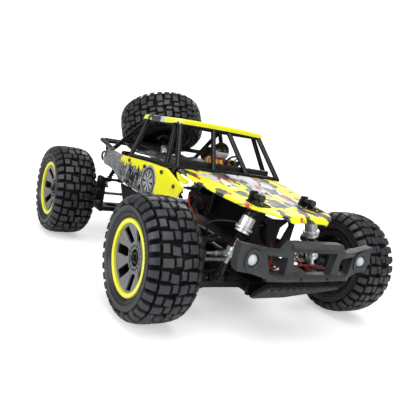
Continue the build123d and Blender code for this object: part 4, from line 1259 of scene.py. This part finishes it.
# Harness strap over each shoulder: x, distance from the seat's middle, z
STRAP = [(-20, 5.5, 137.5), (-13, 7.0, 141.2), (-6, 7.8, 142.0), (2, 7.2, 139.6),
         (5.6, 5.5, 135.0)]
for side, label in ((-1, "r"), (1, "l")):
    path = catmull([(x, SEAT_Y + side * y, z) for x, y, z in STRAP], 5)
    rows = [[(p.x, p.y - 1.5, p.z), (p.x, p.y, p.z + 0.25), (p.x, p.y + 1.5, p.z)] for p in path]
    cockpit("driver_strap_" + label, Shape().grid(rows), [WIRE_BLACK], solid=0.5)

# ---------------------------------------------------------------- lamps and wiring
for side, label in SIDES:
    seat = {"origin": (198.5, side * 67.1, 81.9), "axis": (1, 0, 0)}
    # Domed lens, then housing and back
    shape = Shape().revolve([(5.3, 2.0), (5.3, 6.0), (4.9, 7.6), (3.9, 9.0), (2.2, 10.1),
                             (0.9, 10.5), (0, 10.55)], 40, 0, **seat)
    shape.revolve([(6.15, -7.6), (6.15, 6.6), (5.9, 7.0), (5.35, 6.8), (5.3, 2.0)], 40, 1, **seat)
    shape.revolve([(0, -8.6), (2.2, -8.6), (2.4, -7.8), (6.1, -7.6)], 30, 1, **seat)
    lamp = put("lamp_" + label, shape, [LENS, SATIN], slot="headlamps", sharp=40)
    if label == "left":
        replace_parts(lamp, "headlamps")


def wire(name, points, radius, mat):
    put(name, Shape().tube(catmull(points), radius, 8), [mat], slot="headlamps", sharp=0)


# x, distance out from the centreline, z
LAMP_LEAD_RED = [(190.0, 68, 82), (187, 66, 79), (188, 58, 72), (189, 48, 66), (185, 34, 62.5),
                 (176, 20, 68), (166, 12, 78), (158, 9, 84)]
LAMP_LEAD_BLACK = [(190.0, 66, 82.4), (187, 62, 82), (189, 54, 76), (190, 45, 70), (184, 32, 67),
                   (174, 22, 74), (163, 14, 82), (155, 11, 88)]
for side, label in SIDES:
    for colour, points, mat in (("red_", LAMP_LEAD_RED, WIRE_RED),
                                ("black_", LAMP_LEAD_BLACK, WIRE_BLACK)):
        wire("lamp_lead_" + colour + label, [(x, side * y, z) for x, y, z in points], 0.85, mat)

# Name, radius, material, points
WIRES = [
    ("cross_lead_red", 0.9, WIRE_RED,
     [(189, 48, 66), (192, 30, 71.5), (193.5, 10, 73.0), (193.5, -10, 72.4), (191, -30, 69.0),
      (188, -46, 66)]),
    ("hood_lead_red", 0.9, WIRE_RED,
     [(96, -52, 84), (90, -60, 92), (84, -64, 100), (78, -60, 106), (70, -44, 104),
      (60, -30, 90)]),
    ("hood_lead_black", 1.0, WIRE_BLACK,
     [(150, -16, 98), (140, -30, 96), (124, -44, 94), (110, -50, 88), (96, -44, 78),
      (80, -30, 60)]),
    ("servo_lead_black", 0.9, WIRE_BLACK,
     [(78, -24, 36), (72, -34, 38), (64, -38, 46), (54, -34, 50), (50, -30, 44)]),
    ("motor_lead_red", 1.4, WIRE_RED, [(-22, -26, 58), (-12, -28, 62), (0, -30, 58), (8, -30, 50)]),
    ("motor_lead_black", 1.4, WIRE_BLACK,
     [(-22, -16, 58), (-12, -18, 60), (0, -22, 58), (8, -24, 50)]),
    ("battery_lead_red", 1.4, WIRE_RED,
     [(70, 20, 46), (78, 16, 50), (76, 4, 56), (64, -10, 58), (52, -22, 48)]),
    ("battery_lead_black", 1.4, WIRE_BLACK,
     [(70, 26, 46), (80, 22, 52), (78, 6, 60), (66, -12, 62), (52, -28, 48)]),
    ("aerial_lead", 0.55, WIRE_BLACK,
     [(30, -48, 49), (34, -56, 60), (30, -60, 90), (20, -58, 118), (6, -50, 128)]),
]
for name, radius, mat, points in WIRES:
    wire(name, points, radius, mat)

# Ribs fanning forward and up under the nose
ribs = Shape()
half, normal = Vector((0, 1.7, 0)), Vector((0.53, 0, -0.848))
for k in range(-5, 6):
    rear, front = Vector((161.5, k * 3.8, 28.0)), Vector((207.0, k * 8.4, 56.6))
    low_rear, low_front = rear + normal * 1.6, front + normal * 2.6
    ribs.add([rear - half, rear + half, front + half, front - half,
              low_rear - half * 0.5, low_rear + half * 0.5,
              low_front + half * 0.5, low_front - half * 0.5], TOP_AND_SIDES + [(0, 3, 2, 1)])
put("skid_ribs", ribs, [SKID], slot="chassis_tub", bevel=0.3)

# ---------------------------------------------------------------- front bumper, reshaped from the CAD piece
bumper_mesh = nodes["front_bumper"].data.copy()
for vertex in bumper_mesh.vertices:
    x, y, z = (c / MM for c in vertex.co)
    out = abs(y)
    # Sweep the ends back, draw them in, and raise the low parts
    x -= 6.5 * smooth((out - 44.0) / 18.0)
    y = copysign(out - 6.0 * max(0.0, (out - 70.0) / 18.0), y)
    z += 0.30 * max(0.0, 70.0 - z)
    vertex.co = (x * MM, y * MM, z * MM)
bumper_mesh.materials.clear()
bumper_mesh.materials.append(BUMPER)
bumper = link("bumper_swept", bumper_mesh)
soften(bumper, 1.1, segments=3, angle=28)
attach(bumper, "chassis")
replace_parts(bumper, "front_bumper")


# ---------------------------------------------------------------- CAD pieces kept as they are
def at_corners(part, corners=CORNERS):
    return [part + "_" + corner for corner in corners]


# Pieces, material, bevel width
CAD_PIECES = [
    (["chassis_tub", "gearbox_cases", "shock_towers"], BLACK, 0.45),
    (["roll_cage"], SATIN, 0.0),
    (at_corners("lower_arm"), BLACK, 0.5),
    (at_corners("upper_link"), BLACK, 0.2),
    (at_corners("hub_carrier"), BLACK, 0.35),
    (at_corners("driveshaft"), STEEL, 0.15),
    (at_corners("knuckle", ("fl", "fr")), BLACK, 0.3),
    (["servo_horn", "idler_crank", "drag_link", "fasteners"], OXIDE, 0.2),
    (["tie_rod_l", "tie_rod_r"], SILVER, 0.2),
    (["motor_pinion", "propshaft"], STEEL, 0.2),
    (["drive_motor"], OXIDE, 0.4),
    (["battery_pack"], BATTERY, 0.6),
    (["steering_servo", "control_unit"], BLACK, 0.4),
]
for names, mat, width in CAD_PIECES:
    for name in names:
        piece = nodes[name]
        if len(piece.material_slots):
            for slot in piece.material_slots:
                slot.material = mat
        else:
            piece.data.materials.append(mat)
        if width:
            soften(piece, width)


# ---------------------------------------------------------------- stage, in metres
def studio_floor():
    """White floor, glowing more with distance, but only to the camera."""
    k = Shader("studio_floor")
    colour = k.mix(k.noise(3, detail=3), (0.86, 0.86, 0.865), (0.90, 0.90, 0.90))
    x, y, _ = k.xyz()
    glow = k.remap(k.length(x, y), (0.22, 1.25), (0.52, 0.92))
    camera_only = k.node("LightPath").outputs["Is Camera Ray"]
    return k.finish(Base_Color=colour, Roughness=0.55, Emission_Color=colour,
                    Emission_Strength=k.times(glow, camera_only))


# Sweep section: distance towards the camera, z
FLOOR_Z = -0.0002
FLOOR_SECTION = ([(2.6, FLOOR_Z), (-1.4, FLOOR_Z)]
                 + [(-1.4 - 0.9 * sin(a), 0.9 - 0.9 * cos(a)) for a in spread(0, pi / 2, 10)[1:]]
                 + [(-2.3, 3.4)])
floor_material = studio_floor()
away = Vector((cos(radians(146.2)), sin(radians(146.2)), 0))
across = Vector((-away.y, away.x, 0))
floor_points = []
for distance, z in FLOOR_SECTION:
    for reach in (-3.2, 3.2):
        point = across * reach - away * distance
        floor_points.append((point.x, point.y, z))
floor_mesh = bpy.data.meshes.new("studio_floor")
floor_mesh.from_pydata(floor_points, [], [(2 * i, 2 * i + 1, 2 * i + 3, 2 * i + 2)
                                          for i in range(len(FLOOR_SECTION) - 1)])
floor_mesh.materials.append(floor_material)
for polygon in floor_mesh.polygons:
    polygon.use_smooth = True
link("studio_floor", floor_mesh)

# World: white, brighter to the camera than to the scene
world = scene.world or bpy.data.worlds.new("studio")
scene.world = world
world.use_nodes = True
tree = world.node_tree
background = tree.nodes.get("Background") or tree.nodes.new("ShaderNodeBackground")
background.inputs[0].default_value = (1.0, 1.0, 1.0, 1)
strength = tree.nodes.new("ShaderNodeMapRange")
strength.inputs[3].default_value = 0.34
strength.inputs[4].default_value = 1.0
light_path = tree.nodes.new("ShaderNodeLightPath")
tree.links.new(light_path.outputs["Is Camera Ray"], strength.inputs[0])
tree.links.new(strength.outputs[0], background.inputs[1])

# Name, place, target, size, power in watts
LIGHTS = [
    ("key_top", (0.35, -0.15, 1.15), (0.0, 0.0, 0.05), (1.1, 0.9), 7.5),
    ("side_left", (0.25, -1.15, 0.55), (0.0, 0.0, 0.08), (0.9, 0.6), 6.5),
    ("front_fill", (1.2, 0.15, 0.5), (0.1, 0.0, 0.08), (0.8, 0.6), 3.6),
    ("rim_back", (-0.9, 0.7, 0.8), (-0.05, 0.0, 0.1), (0.9, 0.5), 5),
]
for name, place, target, size, power in LIGHTS:
    light = bpy.data.lights.new(name, "AREA")
    light.shape = "RECTANGLE"
    light.size, light.size_y = size
    light.energy = power
    lamp = link(name, light)
    lamp.location = place
    aim = Vector(target) - Vector(place)
    lamp.rotation_euler = aim.to_track_quat("-Z", "Y").to_euler()

CAMERA_PLACE = Vector((0.51273, -0.32655, 0.19034))
heading, pitch, roll = radians(146.207), radians(-10.336), radians(11.578)
forward = Vector((cos(heading) * cos(pitch), sin(heading) * cos(pitch), sin(pitch)))
level = forward.cross(Vector((0, 0, 1))).normalized()
upright = level.cross(forward)
right = level * cos(roll) + upright * sin(roll)
up = -level * sin(roll) + upright * cos(roll)
camera_data = bpy.data.cameras.new("photo_camera")
camera_data.lens = 42.887
camera_data.sensor_width = camera_data.sensor_height = 36.0
camera_data.sensor_fit = "HORIZONTAL"
camera_data.clip_start = 0.01
camera = link("photo_camera", camera_data)
camera.matrix_world = (Matrix.Translation(CAMERA_PLACE)
                       @ Matrix((right, up, -forward)).transposed().to_4x4())
scene.camera = camera
scene.view_settings.view_transform = "Standard"
